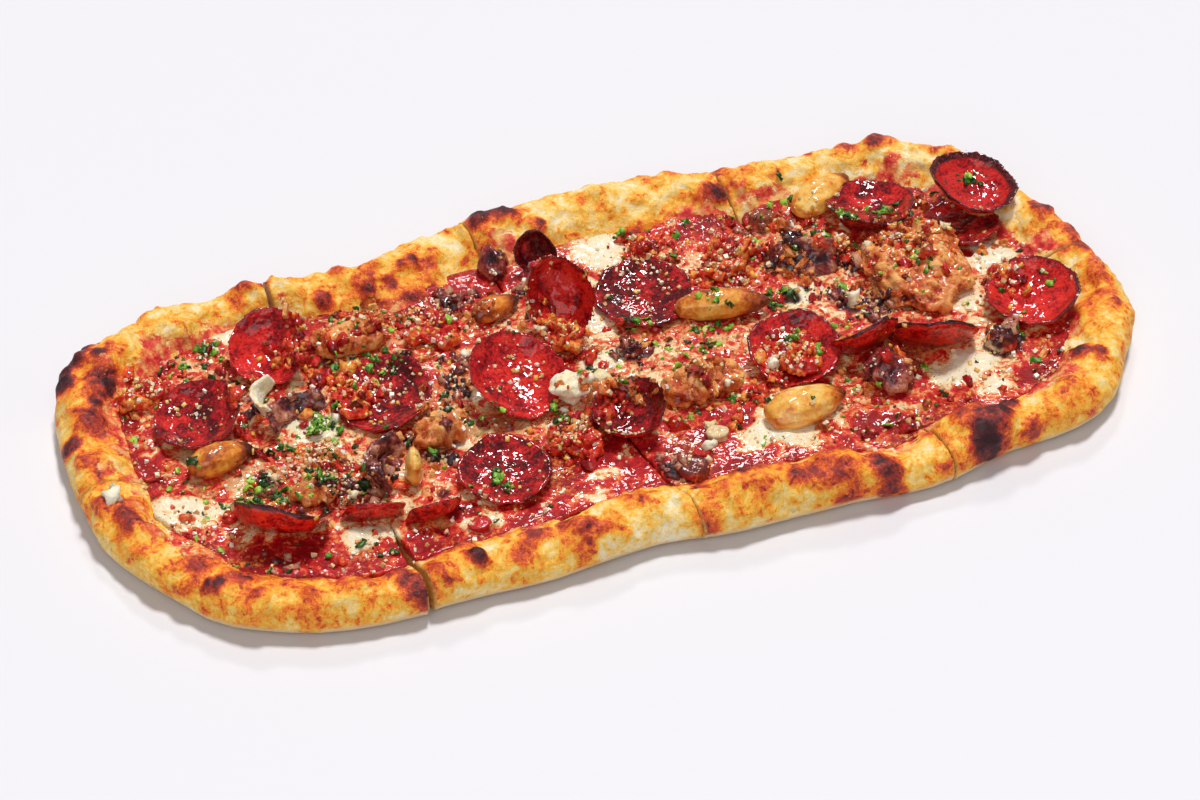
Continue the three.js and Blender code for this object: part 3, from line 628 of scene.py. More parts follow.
def crust_finish(settings):
    look = Finish("baked crust")
    mottle = look.noise(7, detail=5, roughness=0.62, distortion=0.4)
    grain = look.noise(1.3, detail=4, roughness=0.7)
    speckle = look.noise(0.45, detail=2, roughness=0.6)
    leopard = look.between(look.noise(3.4, detail=3, distortion=0.5), 0.53, 0.66)
    bake = look.painted("bake", (mottle, 0.95), (grain, 0.5), (speckle, 0.25))
    bake = look.sum(bake, look.product(leopard, 0.14))
    colour = look.tones(bake, [
        (0.06, "FFF0CC"), (0.2, "FFDC8E"), (0.32, settings.golden), (0.43, "FD9A2C"),
        (0.53, "EC6426"), (0.65, "B43A2A"), (0.82, settings.burnt), (1.0, "34161A"),
    ])
    flour = look.between(look.painted("flour", (speckle, 1.2), (mottle, 0.8)), 0.45, 0.85)
    colour = look.mixed(flour, colour, "F2D3A4")
    smear_tone = look.varied(look.noise(4.2, detail=5), (grain, 0.4))
    smear_colour = look.tones(smear_tone, [
        (0.33, "C81E26"), (0.44, "E2423A"), (0.53, "F27C48"), (0.64, "FCBE78"),
    ])
    smear = look.between(look.painted("smear", (mottle, 1.5), (grain, 0.9)), 0.42, 0.62)
    colour = look.mixed(smear, colour, smear_colour)
    crumb = look.tones(grain, [(0.3, "B9702C"), (0.5, "DFA452"), (0.7, "F2D08C")])
    colour = look.mixed(look.painted("cut"), colour, crumb)
    normal = look.bumped((mottle, 0.8), (grain, 0.5), (speckle, 0.2))
    return look.done(
        base_color=colour, roughness=0.42, normal=normal, specular_ior_level=0.25, **look.soft(0.05, 1.5),
    )


def sauce_finish(settings):
    look = Finish("melted cheese and sauce")
    blotch = look.noise(5, detail=6, roughness=0.65, distortion=0.9)
    grain = look.noise(1.5, detail=4, roughness=0.65)
    speckle = look.noise(0.5, detail=2)
    cheese = look.painted("cheese", (blotch, 1.5), (grain, 0.6), (speckle, 0.2))
    colour = look.tones(cheese, [
        (0.12, "980C12"), (0.27, settings.red), (0.38, "D83226"), (0.47, "E8683C"),
        (0.54, "F0A468"), (0.63, "F8DCA8"), (0.85, settings.cream),
    ])
    toast = look.between(look.painted("toast", (blotch, 1.2), (grain, 0.9)), 0.36, 0.7)
    colour = look.mixed(toast, colour, look.tones(grain, [
        (0.35, "6A1810"), (0.48, "B0442A"), (0.6, "EB9040"),
    ]))
    bits = look.tones(look.painted("bit_tone", (grain, 0.35)), [
        (0.08, "3A0E14"), (0.25, "7C2A20"), (0.45, "C87A44"), (0.65, "F0DCA8"),
        (0.8, "E0561E"), (0.95, "C41418"),
    ])
    colour = look.mixed(look.painted("bit"), colour, bits)
    fleck = look.between(look.cells(2.6), 0.13, 0.06)
    colour = look.mixed(fleck, colour, "6A2214")
    return look.done(
        base_color=colour, roughness=0.4, normal=look.bumped((blotch, 0.8), (grain, 0.5), (speckle, 0.15)),
        specular_ior_level=0.2, **look.soft(0.1, 1.5), **look.glazed(0.4, 2.8, 0.35),
    )


def pepperoni_finish(settings):
    look = Finish("glazed pepperoni")
    blotch = look.noise(6, detail=4, roughness=0.6)
    grain = look.noise(1.1, detail=3, roughness=0.6)
    frost = look.noise(0.42, detail=2, roughness=0.7)
    flesh = look.tones(look.painted("tone", (blotch, 1.2), (grain, 0.9)), [
        (0.3, "4A030A"), (0.43, "840812"), (0.55, settings.pepperoni), (0.72, "E8281E"),
    ])
    fat = look.product(look.between(look.cells(2.2), 0.2, 0.1), 0.25)
    flesh = look.mixed(fat, flesh, "E07A56")
    side = look.between(look.painted("side"), 0.25, 0.75)
    flesh = look.mixed(side, flesh, look.tones(look.varied(blotch, (grain, 0.8)), [
        (0.3, "70040A"), (0.46, "BE0A0E"), (0.6, "F0301C"),
    ]))
    char = look.painted("char", (blotch, 1.0), (grain, 0.7))
    colour = look.mixed(look.between(char, 0.42, 0.66), flesh, look.tones(grain, [
        (0.35, "20060C"), (0.5, "480C14"), (0.66, "8A2626"),
    ]))
    # Painted glints mixed with cheese dust: pale specks on the flesh, shown on the faces that look up.
    dust = look.between(look.varied(frost, (blotch, 0.5)), 0.6, 0.7)
    colour = look.mixed(look.product(look.product(dust, 0.22), look.painted("dust")), colour, "E88C74")
    return look.done(
        base_color=colour, roughness=0.5, specular_ior_level=0.08,
        normal=look.bumped((blotch, 0.8), (grain, 0.6), (frost, 0.2)), **look.glazed(0.8, 2.4, 0.45, 0.04),
        **look.soft(0.05, 1.0),
    )


def garlic_finish(settings):
    look = Finish("roasted garlic")
    blotch = look.noise(5, detail=4)
    grain = look.noise(1.2, detail=3)
    brown = look.painted("brown", (blotch, 1.0), (grain, 0.45))
    colour = look.tones(brown, [
        (0.0, "FCE09A"), (0.18, "FAC868"), (0.36, settings.garlic), (0.5, "DC7A28"),
        (0.68, "9E441C"), (0.92, "44180E"),
    ])
    return look.done(
        base_color=colour, roughness=0.4, specular_ior_level=0.2,
        normal=look.bumped((blotch, 0.7), (grain, 0.25)), **look.soft(0.15, 2),
        **look.glazed(0.9, 3.0, 0.4),
    )


def crumbly_finish(name, stops, red, wet):
    """The look of crumbled, minced or chopped things: painted shade darkens the hollows, with oily red in
    places.

    It is made the first time that it is asked for, and then shared.
    """
    made = bpy.data.materials.get(name)
    if made:
        return made
    look = Finish(name)
    blotch = look.noise(3.5, detail=4, roughness=0.6)
    grain = look.noise(0.9, detail=3, roughness=0.65)
    # Painted shade: on the lumps the low places take the darker tones; on strewn crumbs this value is each
    # crumb's own tone.
    height = look.painted("relief", (blotch, 1.0), (grain, 0.7))
    colour = look.tones(height, stops)
    oily = look.between(look.varied(look.noise(6, detail=3), (grain, 0.5)), 0.52, 0.66)
    colour = look.mixed(look.product(oily, 0.6), colour, red)
    return look.done(
        base_color=colour, roughness=0.45, specular_ior_level=0.15,
        normal=look.bumped((blotch, 0.7), (grain, 0.4)), **look.glazed(wet, 2.0, 0.3),
        **look.soft(0.06, 1.0),
    )


def sausage_look():
    return crumbly_finish("crumbled sausage", [
        (0.15, "5A1408"), (0.32, "A8401A"), (0.47, "DC7430"), (0.72, "F6B46A"),
    ], "C42018", 0.8)


def bacon_look():
    return crumbly_finish("crisp bacon", [
        (0.25, "2A080E"), (0.45, "661820"), (0.6, "9C3430"), (0.82, "D08A6C"),
    ], "8A1A1C", 0.9)


def chili_look(settings):
    return crumbly_finish("chili paste", [
        (0.12, "700408"), (0.3, "B40A0C"), (0.52, settings.chili), (0.68, "F46A28"), (0.84, "FCB44C"),
    ], "C0101A", 1.0)


def cheese_look():
    return crumbly_finish("soft cheese", [
        (0.15, "E4BC78"), (0.35, "F6E2AE"), (0.6, "FFF6DC"),
    ], "F8E6B8", 0.15)


def onion_finish(name):
    look = Finish(name)
    blotch = look.noise(4, detail=4)
    grain = look.noise(0.9, detail=3)
    # Painted shade: on the onion strips the low places take the darker tones; the strewn bits each take a
    # tone of their own.
    colour = look.tones(look.painted("relief", (blotch, 1.2), (grain, 0.7)), [
        (0.22, "26080E"), (0.4, "5A181E"), (0.56, "92382E"), (0.8, "D09070"),
    ])
    return look.done(
        base_color=colour, roughness=0.4, specular_ior_level=0.3,
        normal=look.bumped((blotch, 0.7), (grain, 0.4)), **look.glazed(1.0, 2.0, 0.5),
    )


def herb_finish():
    look = Finish("chopped parsley")
    colour = look.tones(look.painted("kind", (look.noise(1.2, detail=2), 1.0)), [
        (0.15, "1C3E10"), (0.38, "356C12"), (0.58, "5A9A1E"), (0.9, "A4CE44"),
    ])
    return look.done(
        base_color=colour, roughness=0.38, normal=look.bumped((look.noise(0.5), 0.1)),
        **look.soft(0.1, 0.5),
    )


def grain_finish(name, stops, roughness):
    """The look of small hard grains, each with a tone of its own."""
    look = Finish(name)
    grain = look.noise(0.7, detail=2)
    colour = look.tones(look.painted("kind", (grain, 0.3)), stops)
    return look.done(
        base_color=colour, roughness=roughness, normal=look.bumped((grain, 0.12)),
        **look.soft(0.12, 0.8),
    )


# Pieces

def rim_blisters(settings, edge):
    """Small blisters at random places of the rim: x, y, radius, rise, and how burnt each is."""
    draw = np.random.default_rng(21)
    count = settings.blisters
    at = edge[draw.integers(0, len(edge), count)]
    inward = draw.uniform(2, 19, count)
    towards = np.stack([at[:, 0] * 0.5, np.zeros(count)], axis=1) - at
    at = at + towards / np.linalg.norm(towards, axis=1)[:, None] * inward[:, None]
    radius = draw.uniform(2.2, 6.5, count)
    rise = radius * draw.uniform(0.1, 0.24, count)
    burn = np.clip(draw.normal(0.12, 0.22, count), 0, 0.6)
    return np.column_stack([at, radius, rise, burn])


def slice_of(node, word, grain, softening, clearance):
    """A slice softened except at its cuts.

    Gives the piece, its points, how far each lies from a cut, and how fully it is softened.
    """
    piece = skin_of(node, word, grain, 0)
    rough = points_of(piece)
    modify(piece, "SMOOTH", factor=0.5, iterations=softening)
    away = cut_distance(rough, node)
    clear = step(away, 0.4, clearance)
    points = rough + (points_of(piece) - rough) * clear[:, None]
    set_points(piece, points)
    return piece, points, away, clear


def sideways(normals, low, high):
    """1 where a surface faces sideways and 0 where it faces up or down."""
    return step(np.abs(normals[:, 2]), low, high)


def crust_slice(node, settings, edge, blisters, finish):
    piece, points, away, clear = slice_of(node, "baked", settings.grain, 12, 3.5)
    normals = normals_of(piece)
    inward = inward_of(points, edge)
    rim = step(inward, RIM_END, RIM_TOP_END)
    upward = step(normals[:, 2], -0.3, 0.5)
    rise = np.zeros(len(points))
    burn = np.zeros(len(points))
    for x, y, radius, height, burnt in blisters:
        out = np.hypot(points[:, 0] - x, points[:, 1] - y) / radius
        rise = np.maximum(rise, height * step(out, 1, 0.2))
        burn = np.maximum(burn, burnt * step(out, 1.1, 0.4))
    burnt_spots = spots(points, BURNS)
    wrinkles = 0.9 * crags(points, 11, 3) + 0.5 * crags(points, 4, 4)
    relief = wrinkles * settings.crags / MM + rise
    closing = CRUST_LIP * (1 - step(away, 0.2, 1.0)) * sideways(normals, 0.8, 0.4)
    push(piece, (relief + 1.6 * burnt_spots) * rim * upward * clear + closing)
    underside = step(normals[:, 2], -0.5, -0.9)
    low = step(points[:, 2], 8, 2) * (1 - upward * 0.6)
    bake = 0.29 + 0.08 * noise(points, 22, 5) + 0.1 * noise(points, 8, 6) + 0.05 * relief
    bake = bake + 0.15 * spots(points, TOASTED, 5) * (1 - 0.6 * low)
    pale = spots(points, PALE)
    bake = bake - 0.05 * pale + burn * 0.7 * (1 - 0.85 * pale) + burnt_spots * 0.44 * (1 - 0.6 * low)
    bake = np.where(underside > 0.5, 0.34 + 0.2 * crags(points, 12, 8), bake)
    paint(piece, "bake", bake)
    paint(piece, "flour", np.clip(0.95 * low * (1 - burnt_spots) + 0.25 * noise(points, 11, 9), 0, 1))
    smear = step(inward, 8, 24) * 0.85 + 0.5 * crags(points, 9, 10) * step(inward, 5, 12)
    paint(piece, "smear", np.clip(smear + spots(points, SMEARS) * 0.5, 0, 1) * (1 - underside))
    paint(piece, "cut", (1 - step(away, 0.2, 0.6)) * sideways(normals, 0.5, 0.2))
    present(piece, finish, "crust", node)


def crumb_places():
    """Places, widths and tones of the small crumbs that the solids strew over the sauce."""
    rows = []
    for i in range(1, CRUMB_COUNT + 1):
        x, y = ((i * CRUMB_STEPS) % 1 - 0.5) * CRUMB_FIELD
        width = CRUMB_WIDTH + CRUMB_WIDENING * ((i * CRUMB_WIDTH_STEP) % 1)
        rows.append((x, y, width, (i * CRUMB_TONE_STEP) % 1))
    return rows


def sauce_slice(node, settings, edge, finish):
    piece, points, _, clear = slice_of(node, "melted", settings.grain, 5, 2.5)
    normals = normals_of(piece)
    inward = inward_of(points, edge)
    bit = np.zeros(len(points))
    bit_tone = np.zeros(len(points))
    for x, y, width, tone_of_bit in [*BAKED_BITS, *crumb_places()]:
        out = np.hypot(*(points[:, :2] - SOLIDS_SHIFT - (x, y)).T) / (0.58 * width)
        on_bit = step(out + 0.25 * noise(points, 2.5, 18), 1.05, 0.8)
        bit_tone = np.where(on_bit > bit, tone_of_bit, bit_tone)
        bit = np.maximum(bit, on_bit)
    patches = spots(points, CHEESE_PATCHES, 2.5)
    plain = spots(points, SAUCE_PATCHES, 2.5)
    melt = noise(points, 16, 11) * 0.5 + noise(points, 7, 12) * 0.35
    margin = step(inward, 36, 22)
    curds = crags(points, 3.4, 17)
    cheese = 0.48 + 0.3 * melt + 0.06 * curds + 0.6 * patches - 0.34 * plain - 0.2 * margin
    relief = 0.7 * crags(points, 8, 14, 4) + 0.3 * curds + 0.9 * patches - 0.4 * plain
    relief = relief * (1 - bit) + 0.8 * bit * crags(points, 2.6, 19, 2)
    upward = step(normals[:, 2], 0.1, 0.6) * step(points[:, 2], 5.5, 7)
    side = sideways(normals, 0.9, 0.6)
    wall = (1 - step(cut_distance(points, node), 0.3, 1.2)) * side
    closing = MELTED_LIP * wall * step(inward, 26, 38)
    foot = SAUCE_FOOT * step(inward, 27, 24) * side * clear
    push(piece, relief * upward * clear * step(inward, 17, 24) + closing + foot)
    paint(piece, "cheese", np.clip(cheese, 0, 1))
    paint(piece, "toast", np.clip(0.3 + 0.3 * noise(points, 10, 15) - 0.35 * patches, 0, 1))
    paint(piece, "bit", bit * upward)
    paint(piece, "bit_tone", bit_tone)
    present(piece, finish, "sauce_cheese", node)


def disc_place(points):
    """How far out each point of a round slice lies, as a share, and the way that the slice faces."""
    middle = (points.max(axis=0) + points.min(axis=0)) / 2
    axes = np.linalg.svd(points - points.mean(axis=0), full_matrices=False)[2]
    if axes[2][2] < 0:
        axes[2] = -axes[2]
    flat = (points - middle) @ axes.T
    radius = np.hypot(flat[:, 0], flat[:, 1])
    angle = np.arctan2(flat[:, 1], flat[:, 0])
    sector = math.radians(360 / DISC_SECTORS)
    bins = np.round(angle / sector).astype(int) % DISC_SECTORS
    reach = [radius[bins == b].max() if (bins == b).any() else radius.max() for b in range(DISC_SECTORS)]
    around = np.interp(angle % (2 * math.pi), np.arange(DISC_SECTORS + 1) * sector, [*reach, reach[0]])
    return radius / around, axes[2]


def pepperoni_slice(index, node, settings, finish):
    piece = skin_of(node, "glazed", settings.grain, 3)
    points = points_of(piece)
    out, face = disc_place(points)
    ripple = 0.3 * noise(points, 6, index) * step(out, 0.5, 0.8)
    push(piece, ripple + 0.14 * crags(points, 2.6, 50 + index, 2) * step(out, 1.0, 0.85))
    normals = normals_of(piece)
    facing = normals @ face
    height = step(points[:, 2], points[:, 2].min(), points[:, 2].max())
    char = step(out, 0.78, 0.97) * (0.16 + 0.6 * PEPPERONI_CHAR[index] + 0.22 * height) - 0.05
    char = char + 0.5 * step(PEPPERONI_CHAR[index], 0.5, 1.0)
    lip = step(out, 0.9, 0.97) * step(height, 0.45, 0.8) * step(PEPPERONI_CHAR[index], 0.3, 0.6)
    paint(piece, "char", np.clip(np.maximum(char * step(facing, -0.6, 0.1), 0.8 * lip), 0, 1))
    paint(piece, "side", step(facing, 0.35, -0.1))
    paint(piece, "tone", np.full(len(points), PEPPERONI_TONE[index]))
    # Where the pale specks of cheese dust and painted glints show: the faces that look up.
    paint(piece, "dust", step(facing, 0.2, 0.7))
    present(piece, finish, "pepperoni", node)


def long_place(points):
    """Where each point lies along a piece, from -1 at one end to 1 at the other, towards +X."""
    axis = np.linalg.svd(points - points.mean(axis=0), full_matrices=False)[2][0]
    along = (points - points.mean(axis=0)) @ (axis if axis[0] > 0 else -axis)
    return along / np.abs(along).max()


def garlic_clove(index, node, settings, finish):
    piece = skin_of(node, "roasted", settings.grain, 12)
    points = points_of(piece)
    along = long_place(points)
    ridges = noise(points * (0.35, 1, 1), 2.6, 60 + index)
    push(piece, 0.3 * ridges + 0.3 * noise(points, 6, 70 + index) + 0.08 * noise(points, 1.2, 71))
    brown = GARLIC_BROWNING[index] + 0.5 * step(along, 0.35, 0.95) + 0.2 * step(along, -0.5, -1)
    paint(piece, "brown", np.clip(brown + 0.12 * ridges, 0, 1))
    present(piece, finish, "garlic", node)


def craggy_pieces(kind, settings, finish):
    """All lumps of one kind, with painted shade in their hollows: each lump's height is painted on, and its
    material darkens the low places.
    """
    word, slot, softening, layers = CRAGGY[kind]
    highest = sum(rise for _, rise in layers)
    for node in nodes_of(kind):
        piece = skin_of(node, word, settings.grain, softening)
        points = points_of(piece)
        amounts = sum(rise * noise(points, lump, 80 + i) for i, (lump, rise) in enumerate(layers))
        push(piece, amounts)
        # The height painted here lets the material paint shade into the hollows.
        paint(piece, "relief", np.clip(0.5 + amounts / (2.2 * highest), 0, 1))
        present(piece, finish, slot, node)


# Small things, strewn

def small_shapes(kind, seeds):
    return [small_shape(kind, seed) for seed in seeds]


def small_shape(kind, seed):
    """The points and faces of one small thing about 1 mm wide, modelled with operators."""
    bpy.ops.object.select_all(action="DESELECT")
    if kind == "leaf":
        bpy.ops.mesh.primitive_grid_add(x_subdivisions=3, y_subdivisions=2, size=0.9 * MM)
    else:
        bpy.ops.mesh.primitive_cube_add(size=0.8 * MM)
    shape = bpy.context.object
    bpy.ops.object.mode_set(mode="EDIT")
    bpy.ops.mesh.select_all(action="SELECT")
    if kind == "chunk":
        bpy.ops.mesh.subdivide(number_cuts=1)
    bpy.ops.transform.vertex_random(offset=SHAPE_ROUGHNESS[kind] * MM, seed=seed)
    if kind == "seed":
        bpy.ops.transform.resize(value=(1.3, 0.95, 0.35))
    bpy.ops.object.mode_set(mode="OBJECT")
    if kind == "leaf":
        modify(shape, "SOLIDIFY", thickness=0.12 * MM, offset=0)
    modify(shape, "TRIANGULATE")
    points = points_of(shape)
    faces = np.array([face.vertices[:] for face in shape.data.polygons])
    bpy.data.objects.remove(shape)
    return points, faces


def thinned(found, draw, kept_share):
    """Drop some of the landings, by the first word of the piece that they are on."""
    return [row for row in found if draw.random() < kept_share.get(row[2].split("_")[0], 1)]


def landings(places, draw, lean=HEAVY_LEAN):
    """Where things dropped at places come to lie: the spot and the surface's normal there."""
    bpy.context.view_layer.update()
    graph = bpy.context.evaluated_depsgraph_get()
    found = []
    for x, y in places:
        tilt = math.radians(draw.uniform(0, lean))
        turn = draw.uniform(0, 2 * math.pi)
        down = Vector((math.sin(tilt) * math.cos(turn), math.sin(tilt) * math.sin(turn), -math.cos(tilt)))
        start = Vector((x, y, AIM_HEIGHT)) * MM - down * FALL
        hit, spot, normal, _, piece, _ = bpy.context.scene.ray_cast(graph, start, down)
        if hit and spot.z > LOWEST_LANDING * MM:
            found.append((np.array(spot) / MM, np.array(normal), piece.name))
    return found


def fallen(clumps, count, draw, edge, margin):
    """Where light things lie that were strewn in clumps and evenly."""
    clumped = landings(clump_places(clumps, draw), draw, LIGHT_LEAN)
    clumped = thinned(clumped, draw, CLUMPS_STAYING)
    even = landings(even_places(count, draw, edge, margin), draw, LIGHT_LEAN)
    return clumped + thinned(even, draw, STAYING)


def strewn(name, slot, finish, shapes, found, draw, widths_of_one, lift, tilt=ROUND_TILT, sharp=False):
    """One piece of many small things, each lifted off the surface by a share of its thickness."""
    rows = [(spot, normal, widths_of_one()) for spot, normal, _ in found]
    all_points = []
    all_faces = []
    tones = []
    first = 0
    for spot, normal, widths in rows:
        points, faces = shapes[draw.integers(len(shapes))]
        upright = normal / np.linalg.norm(normal)
        upright = upright + draw.normal(0, tilt, 3)
        upright = upright / np.linalg.norm(upright)
        side = np.cross(upright, draw.normal(0, 1, 3))
        side = side / np.linalg.norm(side)
        turn = np.stack([side, np.cross(upright, side), upright])
        placed = (points * widths) @ turn + spot + normal * widths[2] * lift
        all_points.append(placed)
        all_faces.append(faces + first)
        tones.append(np.full(len(points), draw.uniform(0, 1)))
        first += len(points)
    mesh = bpy.data.meshes.new(name)
    mesh.from_pydata(np.concatenate(all_points) * MM, [], np.concatenate(all_faces).tolist())
    mesh.update()
    piece = bpy.data.objects.new(name, mesh)
    bpy.context.scene.collection.objects.link(piece)
    paint(piece, "kind", np.concatenate(tones))
    paint(piece, "relief", 0.2 + 0.6 * np.concatenate(tones))
    present(piece, finish, slot)
    if sharp:
        bpy.ops.object.shade_flat()


def even_places(count, draw, edge, margin):
    """Random places at least a margin in from the outer edge."""
    places = np.column_stack([draw.uniform(-reach, reach, TRIES * count) for reach in FIELD_REACH])
    inside = inward_of(np.column_stack([places, np.zeros(len(places))]), edge) > margin
    turns = np.arctan2(places[:, 1], places[:, 0])
    edge_turns = np.arctan2(edge[:, 1], edge[:, 0])
    order = np.argsort(edge_turns)
    reach = np.interp(turns, edge_turns[order], np.hypot(edge[:, 0], edge[:, 1])[order])
    inside &= np.hypot(places[:, 0], places[:, 1]) < reach
    return places[inside][:count]


def clump_places(clumps, draw):
    """Random places in each clump, closer together towards its middle."""
    return np.concatenate([
        draw.normal((x, y), radius * CLUMP_SPREAD, (count, 2)) for x, y, radius, count in clumps
    ])


# Operators

class PizzaOperator:
    bl_options = {"REGISTER", "UNDO"}


class PIZZA_OT_crust(PizzaOperator, bpy.types.Operator):
    """Bake the eight slices of the crust, with their blisters and burnt spots"""
    bl_idname = "pizza.crust"
    bl_label = "Crust"

    def execute(self, context):
        settings = context.scene.pizza_crust
        edge = outer_edge()
        blisters = rim_blisters(settings, edge)
        finish = crust_finish(settings)
        for node in nodes_of("crust"):
            crust_slice(node, settings, edge, blisters, finish)
        return {"FINISHED"}


class PIZZA_OT_sauce(PizzaOperator, bpy.types.Operator):
    """Melt the cheese and sauce of the eight slices"""
    bl_idname = "pizza.sauce"
    bl_label = "Sauce and cheese"

    def execute(self, context):
        settings = context.scene.pizza_sauce
        edge = outer_edge()
        finish = sauce_finish(settings)
        for node in nodes_of("sauce"):
            sauce_slice(node, settings, edge, finish)
        return {"FINISHED"}


class PIZZA_OT_pepperoni(PizzaOperator, bpy.types.Operator):
    """Glaze the pepperoni and char their rims"""
    bl_idname = "pizza.pepperoni"
    bl_label = "Pepperoni"

    def execute(self, context):
        settings = context.scene.pizza_toppings
        finish = pepperoni_finish(settings)
        for index, node in enumerate(nodes_of("pepperoni")):
            pepperoni_slice(index, node, settings, finish)
        return {"FINISHED"}


class PIZZA_OT_garlic(PizzaOperator, bpy.types.Operator):
    """Roast the garlic cloves"""
    bl_idname = "pizza.garlic"
    bl_label = "Garlic"

    def execute(self, context):
        settings = context.scene.pizza_toppings
        finish = garlic_finish(settings)
        for index, node in enumerate(nodes_of("garlic")):
            garlic_clove(index, node, settings, finish)
        return {"FINISHED"}


class PIZZA_OT_meat(PizzaOperator, bpy.types.Operator):
    """Crumble the sausage and crisp the bacon"""
    bl_idname = "pizza.meat"
    bl_label = "Sausage and bacon"

    def execute(self, context):
        settings = context.scene.pizza_toppings
        craggy_pieces("sausage", settings, sausage_look())
        craggy_pieces("bacon", settings, bacon_look())
        return {"FINISHED"}


class PIZZA_OT_chili(PizzaOperator, bpy.types.Operator):
    """Heap the chili paste"""
    bl_idname = "pizza.chili"
    bl_label = "Chili paste"

    def execute(self, context):
        settings = context.scene.pizza_toppings
        craggy_pieces("chili_paste", settings, chili_look(settings))
        return {"FINISHED"}


class PIZZA_OT_onion(PizzaOperator, bpy.types.Operator):
    """Roast the onion strips"""
    bl_idname = "pizza.onion"
    bl_label = "Onion"

    def execute(self, context):
        craggy_pieces("onion", context.scene.pizza_toppings, onion_finish("roasted onion"))
        return {"FINISHED"}


class PIZZA_OT_cheese(PizzaOperator, bpy.types.Operator):
    """Roughen the curled cheese shaving and crumble the large crumb of soft cheese"""
    bl_idname = "pizza.cheese"
    bl_label = "Cheese"

    def execute(self, context):
        settings = context.scene.pizza_toppings
        craggy_pieces("cheese_shaving", settings, cheese_look())
        craggy_pieces("cheese_crumble", settings, cheese_look())
        return {"FINISHED"}


class PIZZA_OT_crumbs(PizzaOperator, bpy.types.Operator):
    """Strew chopped onion, chili and sausage, dark crumbs and chili seeds"""
    bl_idname = "pizza.crumbs"
    bl_label = "Crumbs and seeds"

    def execute(self, context):
        strewing = context.scene.pizza_strewn
        draw = np.random.default_rng(strewing.seed)
        edge = outer_edge()
        self.heaps(context, draw, edge)
        places = even_places(DARK_CRUMBS, draw, edge, MARGINS["dark_crumbs"])
        finish = grain_finish("dark crumbs", [(0.2, "34140A"), (0.8, "8A4420")], 0.5)
        strewn(
            "dark_crumbs", "sausage", finish, small_shapes("speck", range(11, 15)),
            thinned(landings(places, draw), draw, STAYING), draw,
            lambda: draw.uniform(0.4, 1.1, 3), 0.1,
        )
        boxes = [np.array(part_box(node)) / MM for node in nodes_of("chili_paste")]
        heaps = [(*((low + high) / 2)[:2], *SEEDS_ON_HEAP) for low, high in boxes]
        places = [clump_places(heaps, draw), even_places(LOOSE_SEEDS, draw, edge, MARGINS["chili_seeds"])]
        finish = grain_finish("chili seeds", [(0.2, "E8A83C"), (0.8, "F6D37A")], 0.35)
        strewn(
            "chili_seeds", "chili_paste", finish, small_shapes("seed", range(21, 24)),
            landings(np.concatenate(places), draw), draw,
            lambda: draw.uniform(1.1, 1.9) * np.ones(3), 0.05, tilt=FLAT_TILT,
        )
        return {"FINISHED"}

    def heaps(self, context, draw, edge):
        """Chopped things: piece, slot, look, clumps, what they stay off, narrowest and widest."""
        chunks = small_shapes("chunk", range(1, 7))
        chili = chili_look(context.scene.pizza_toppings)
        for name, slot, finish, clumps, off, narrow, wide in (
            ("dark_bits", "onion", onion_finish("roasted bits"), DARK_CLUMPS, DARK_OFF, 1.4, 5.0),
            ("chili_crumbs", "chili_paste", chili, CHILI_CLUMPS, HEAPED_OFF, 1.4, 5.2),
            ("sausage_crumbs", "sausage", sausage_look(), SAUSAGE_CLUMPS, HEAPED_OFF, 1.2, 4.5),
        ):
            found = [row for row in landings(clump_places(clumps, draw), draw) if not row[2].startswith(off)]
            if name in MARGINS:
                even = even_places(context.scene.pizza_strewn.crumbs, draw, edge, MARGINS[name])
                found += thinned(landings(even, draw), draw, STAYING)
            strewn(
                name, slot, finish, chunks, found, draw,
                lambda: (narrow + (wide - narrow) * draw.random() ** 2) * draw.uniform(0.4, 1.35, 3), 0.02,
                sharp=name == "sausage_crumbs",
            )


class PIZZA_OT_parsley(PizzaOperator, bpy.types.Operator):
    """Strew the chopped parsley"""
    bl_idname = "pizza.parsley"
    bl_label = "Parsley"

    def execute(self, context):
        strewing = context.scene.pizza_strewn
        draw = np.random.default_rng(strewing.seed + 1)
        edge = outer_edge()
        strewn(
            "parsley", None, herb_finish(), small_shapes("leaf", range(31, 37)),
            fallen(PARSLEY_CLUMPS, strewing.parsley, draw, edge, MARGINS["parsley"]), draw,
            lambda: (1.2 + 2.8 * draw.random() ** 2) * np.array([1, draw.uniform(0.5, 1), 1]), 0.12,
        )
        return {"FINISHED"}


class PIZZA_OT_grated(PizzaOperator, bpy.types.Operator):
    """Strew the grated cheese and the crumbles of soft cheese"""
    bl_idname = "pizza.grated"
    bl_label = "Grated cheese"

    def execute(self, context):
        strewing = context.scene.pizza_strewn
        draw = np.random.default_rng(strewing.seed + 2)
        edge = outer_edge()
        finish = grain_finish("grated cheese", [
            (0.1, "D9A868"), (0.4, "F2D4A0"), (0.7, "FAEBC8"), (0.95, "FFF8E8"),
        ], 0.4)
        strewn(
            "grated_cheese", "cheese", finish, small_shapes("speck", range(41, 46)),
            fallen(GRATED_CLUMPS, strewing.grated, draw, edge, MARGINS["grated_cheese"]), draw,
            lambda: (0.4 + 1.3 * draw.random() ** 3) * draw.uniform(0.6, 1.3, 3), 0.2, sharp=True,
        )
        widths = iter([width for _, _, width in CHEESE_CRUMBLES])
        strewn(
            "cheese_crumbles", "cheese", cheese_look(), small_shapes("chunk", range(51, 56)),
            landings([place[:2] for place in CHEESE_CRUMBLES], draw, 0), draw,
            lambda: next(widths) * draw.uniform(0.75, 1.1, 3), 0.15,
        )
        return {"FINISHED"}


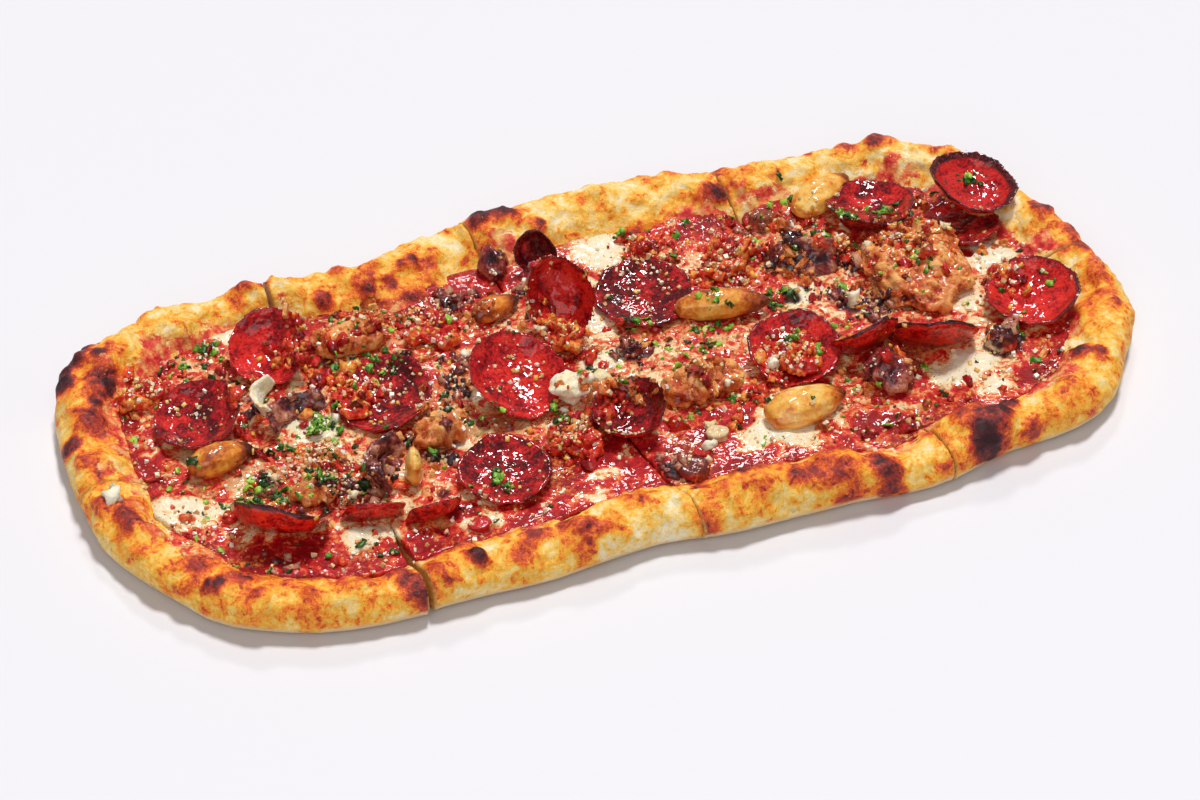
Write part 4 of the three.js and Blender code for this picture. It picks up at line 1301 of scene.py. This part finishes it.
class PIZZA_OT_studio(PizzaOperator, bpy.types.Operator):
    """Set up the pale floor, the soft lights and the camera"""
    bl_idname = "pizza.studio"
    bl_label = "Studio"

    def execute(self, context):
        settings = context.scene.pizza_studio
        bpy.ops.object.select_all(action="DESELECT")
        bpy.ops.mesh.primitive_plane_add(size=FLOOR_WIDTH, location=(0, 0, -FLOOR_GAP * MM))
        floor = context.object
        floor.name = "floor"
        look = Finish("studio floor")
        shade = look.between(look.noise(FLOOR_CLOUDS, detail=1), 0, 1)
        darker = [value * 0.97 for value in settings.floor]
        floor.data.materials.append(
            look.done(base_color=look.mixed(shade, darker, settings.floor), roughness=0.7),
        )
        world = bpy.data.worlds.new("studio")
        world.use_nodes = True
        sky = world.node_tree.nodes["Background"]
        sky.inputs["Color"].default_value = SKY_COLOUR
        sky.inputs["Strength"].default_value = SKY_STRENGTH
        context.scene.world = world
        for name, strength, spread, place in LIGHTS:
            bpy.ops.object.light_add(type="SUN", location=place)
            light = context.object
            light.name = name
            light.data.energy = strength
            light.data.angle = math.radians(spread)
            light.rotation_euler = (-Vector(place)).to_track_quat("-Z", "Y").to_euler()
        view = context.scene.view_settings
        view.view_transform = "Standard"
        view.look = "None"
        bpy.ops.object.camera_add()
        camera = context.object
        azimuth, elevation = settings.azimuth, settings.elevation
        back = Vector((
            math.sin(azimuth) * math.cos(elevation), -math.cos(azimuth) * math.cos(elevation),
            math.sin(elevation),
        ))
        camera.location = Vector(CAMERA_TARGET) * MM + back * settings.distance
        camera.rotation_euler = (-back).to_track_quat("-Z", "Y").to_euler()
        camera.data.lens = settings.lens
        camera.data.sensor_fit = "HORIZONTAL"
        context.scene.camera = camera
        return {"FINISHED"}


class PIZZA_PT_panel(bpy.types.Panel):
    bl_idname = "PIZZA_PT_panel"
    bl_label = "Bee sting pizza"
    bl_space_type = "VIEW_3D"
    bl_region_type = "UI"
    bl_category = "Pizza"

    def draw(self, context):
        for group in SETTINGS:
            box = self.layout.box()
            for name in SETTINGS[group].__annotations__:
                box.prop(getattr(context.scene, group), name)
        for operator in OPERATORS:
            self.layout.operator(operator.bl_idname)


SETTINGS = {
    "pizza_crust": CrustSettings,
    "pizza_sauce": SauceSettings,
    "pizza_toppings": ToppingSettings,
    "pizza_strewn": StrewnSettings,
    "pizza_studio": StudioSettings,
}
OPERATORS = [
    PIZZA_OT_crust, PIZZA_OT_sauce, PIZZA_OT_pepperoni, PIZZA_OT_garlic, PIZZA_OT_meat,
    PIZZA_OT_chili, PIZZA_OT_onion, PIZZA_OT_cheese, PIZZA_OT_crumbs, PIZZA_OT_parsley,
    PIZZA_OT_grated, PIZZA_OT_studio,
]


def register():
    for group, settings in SETTINGS.items():
        bpy.utils.register_class(settings)
        setattr(bpy.types.Scene, group, bpy.props.PointerProperty(type=settings))
    for item in (*OPERATORS, PIZZA_PT_panel):
        bpy.utils.register_class(item)


def unregister():
    for item in (PIZZA_PT_panel, *reversed(OPERATORS)):
        bpy.utils.unregister_class(item)
    for group, settings in SETTINGS.items():
        delattr(bpy.types.Scene, group)
        bpy.utils.unregister_class(settings)


def main():
    register()
    for operator in OPERATORS:
        group, name = operator.bl_idname.split(".")
        getattr(getattr(bpy.ops, group), name)()
    bpy.context.view_layer.update()


if __name__ == "__main__":
    main()
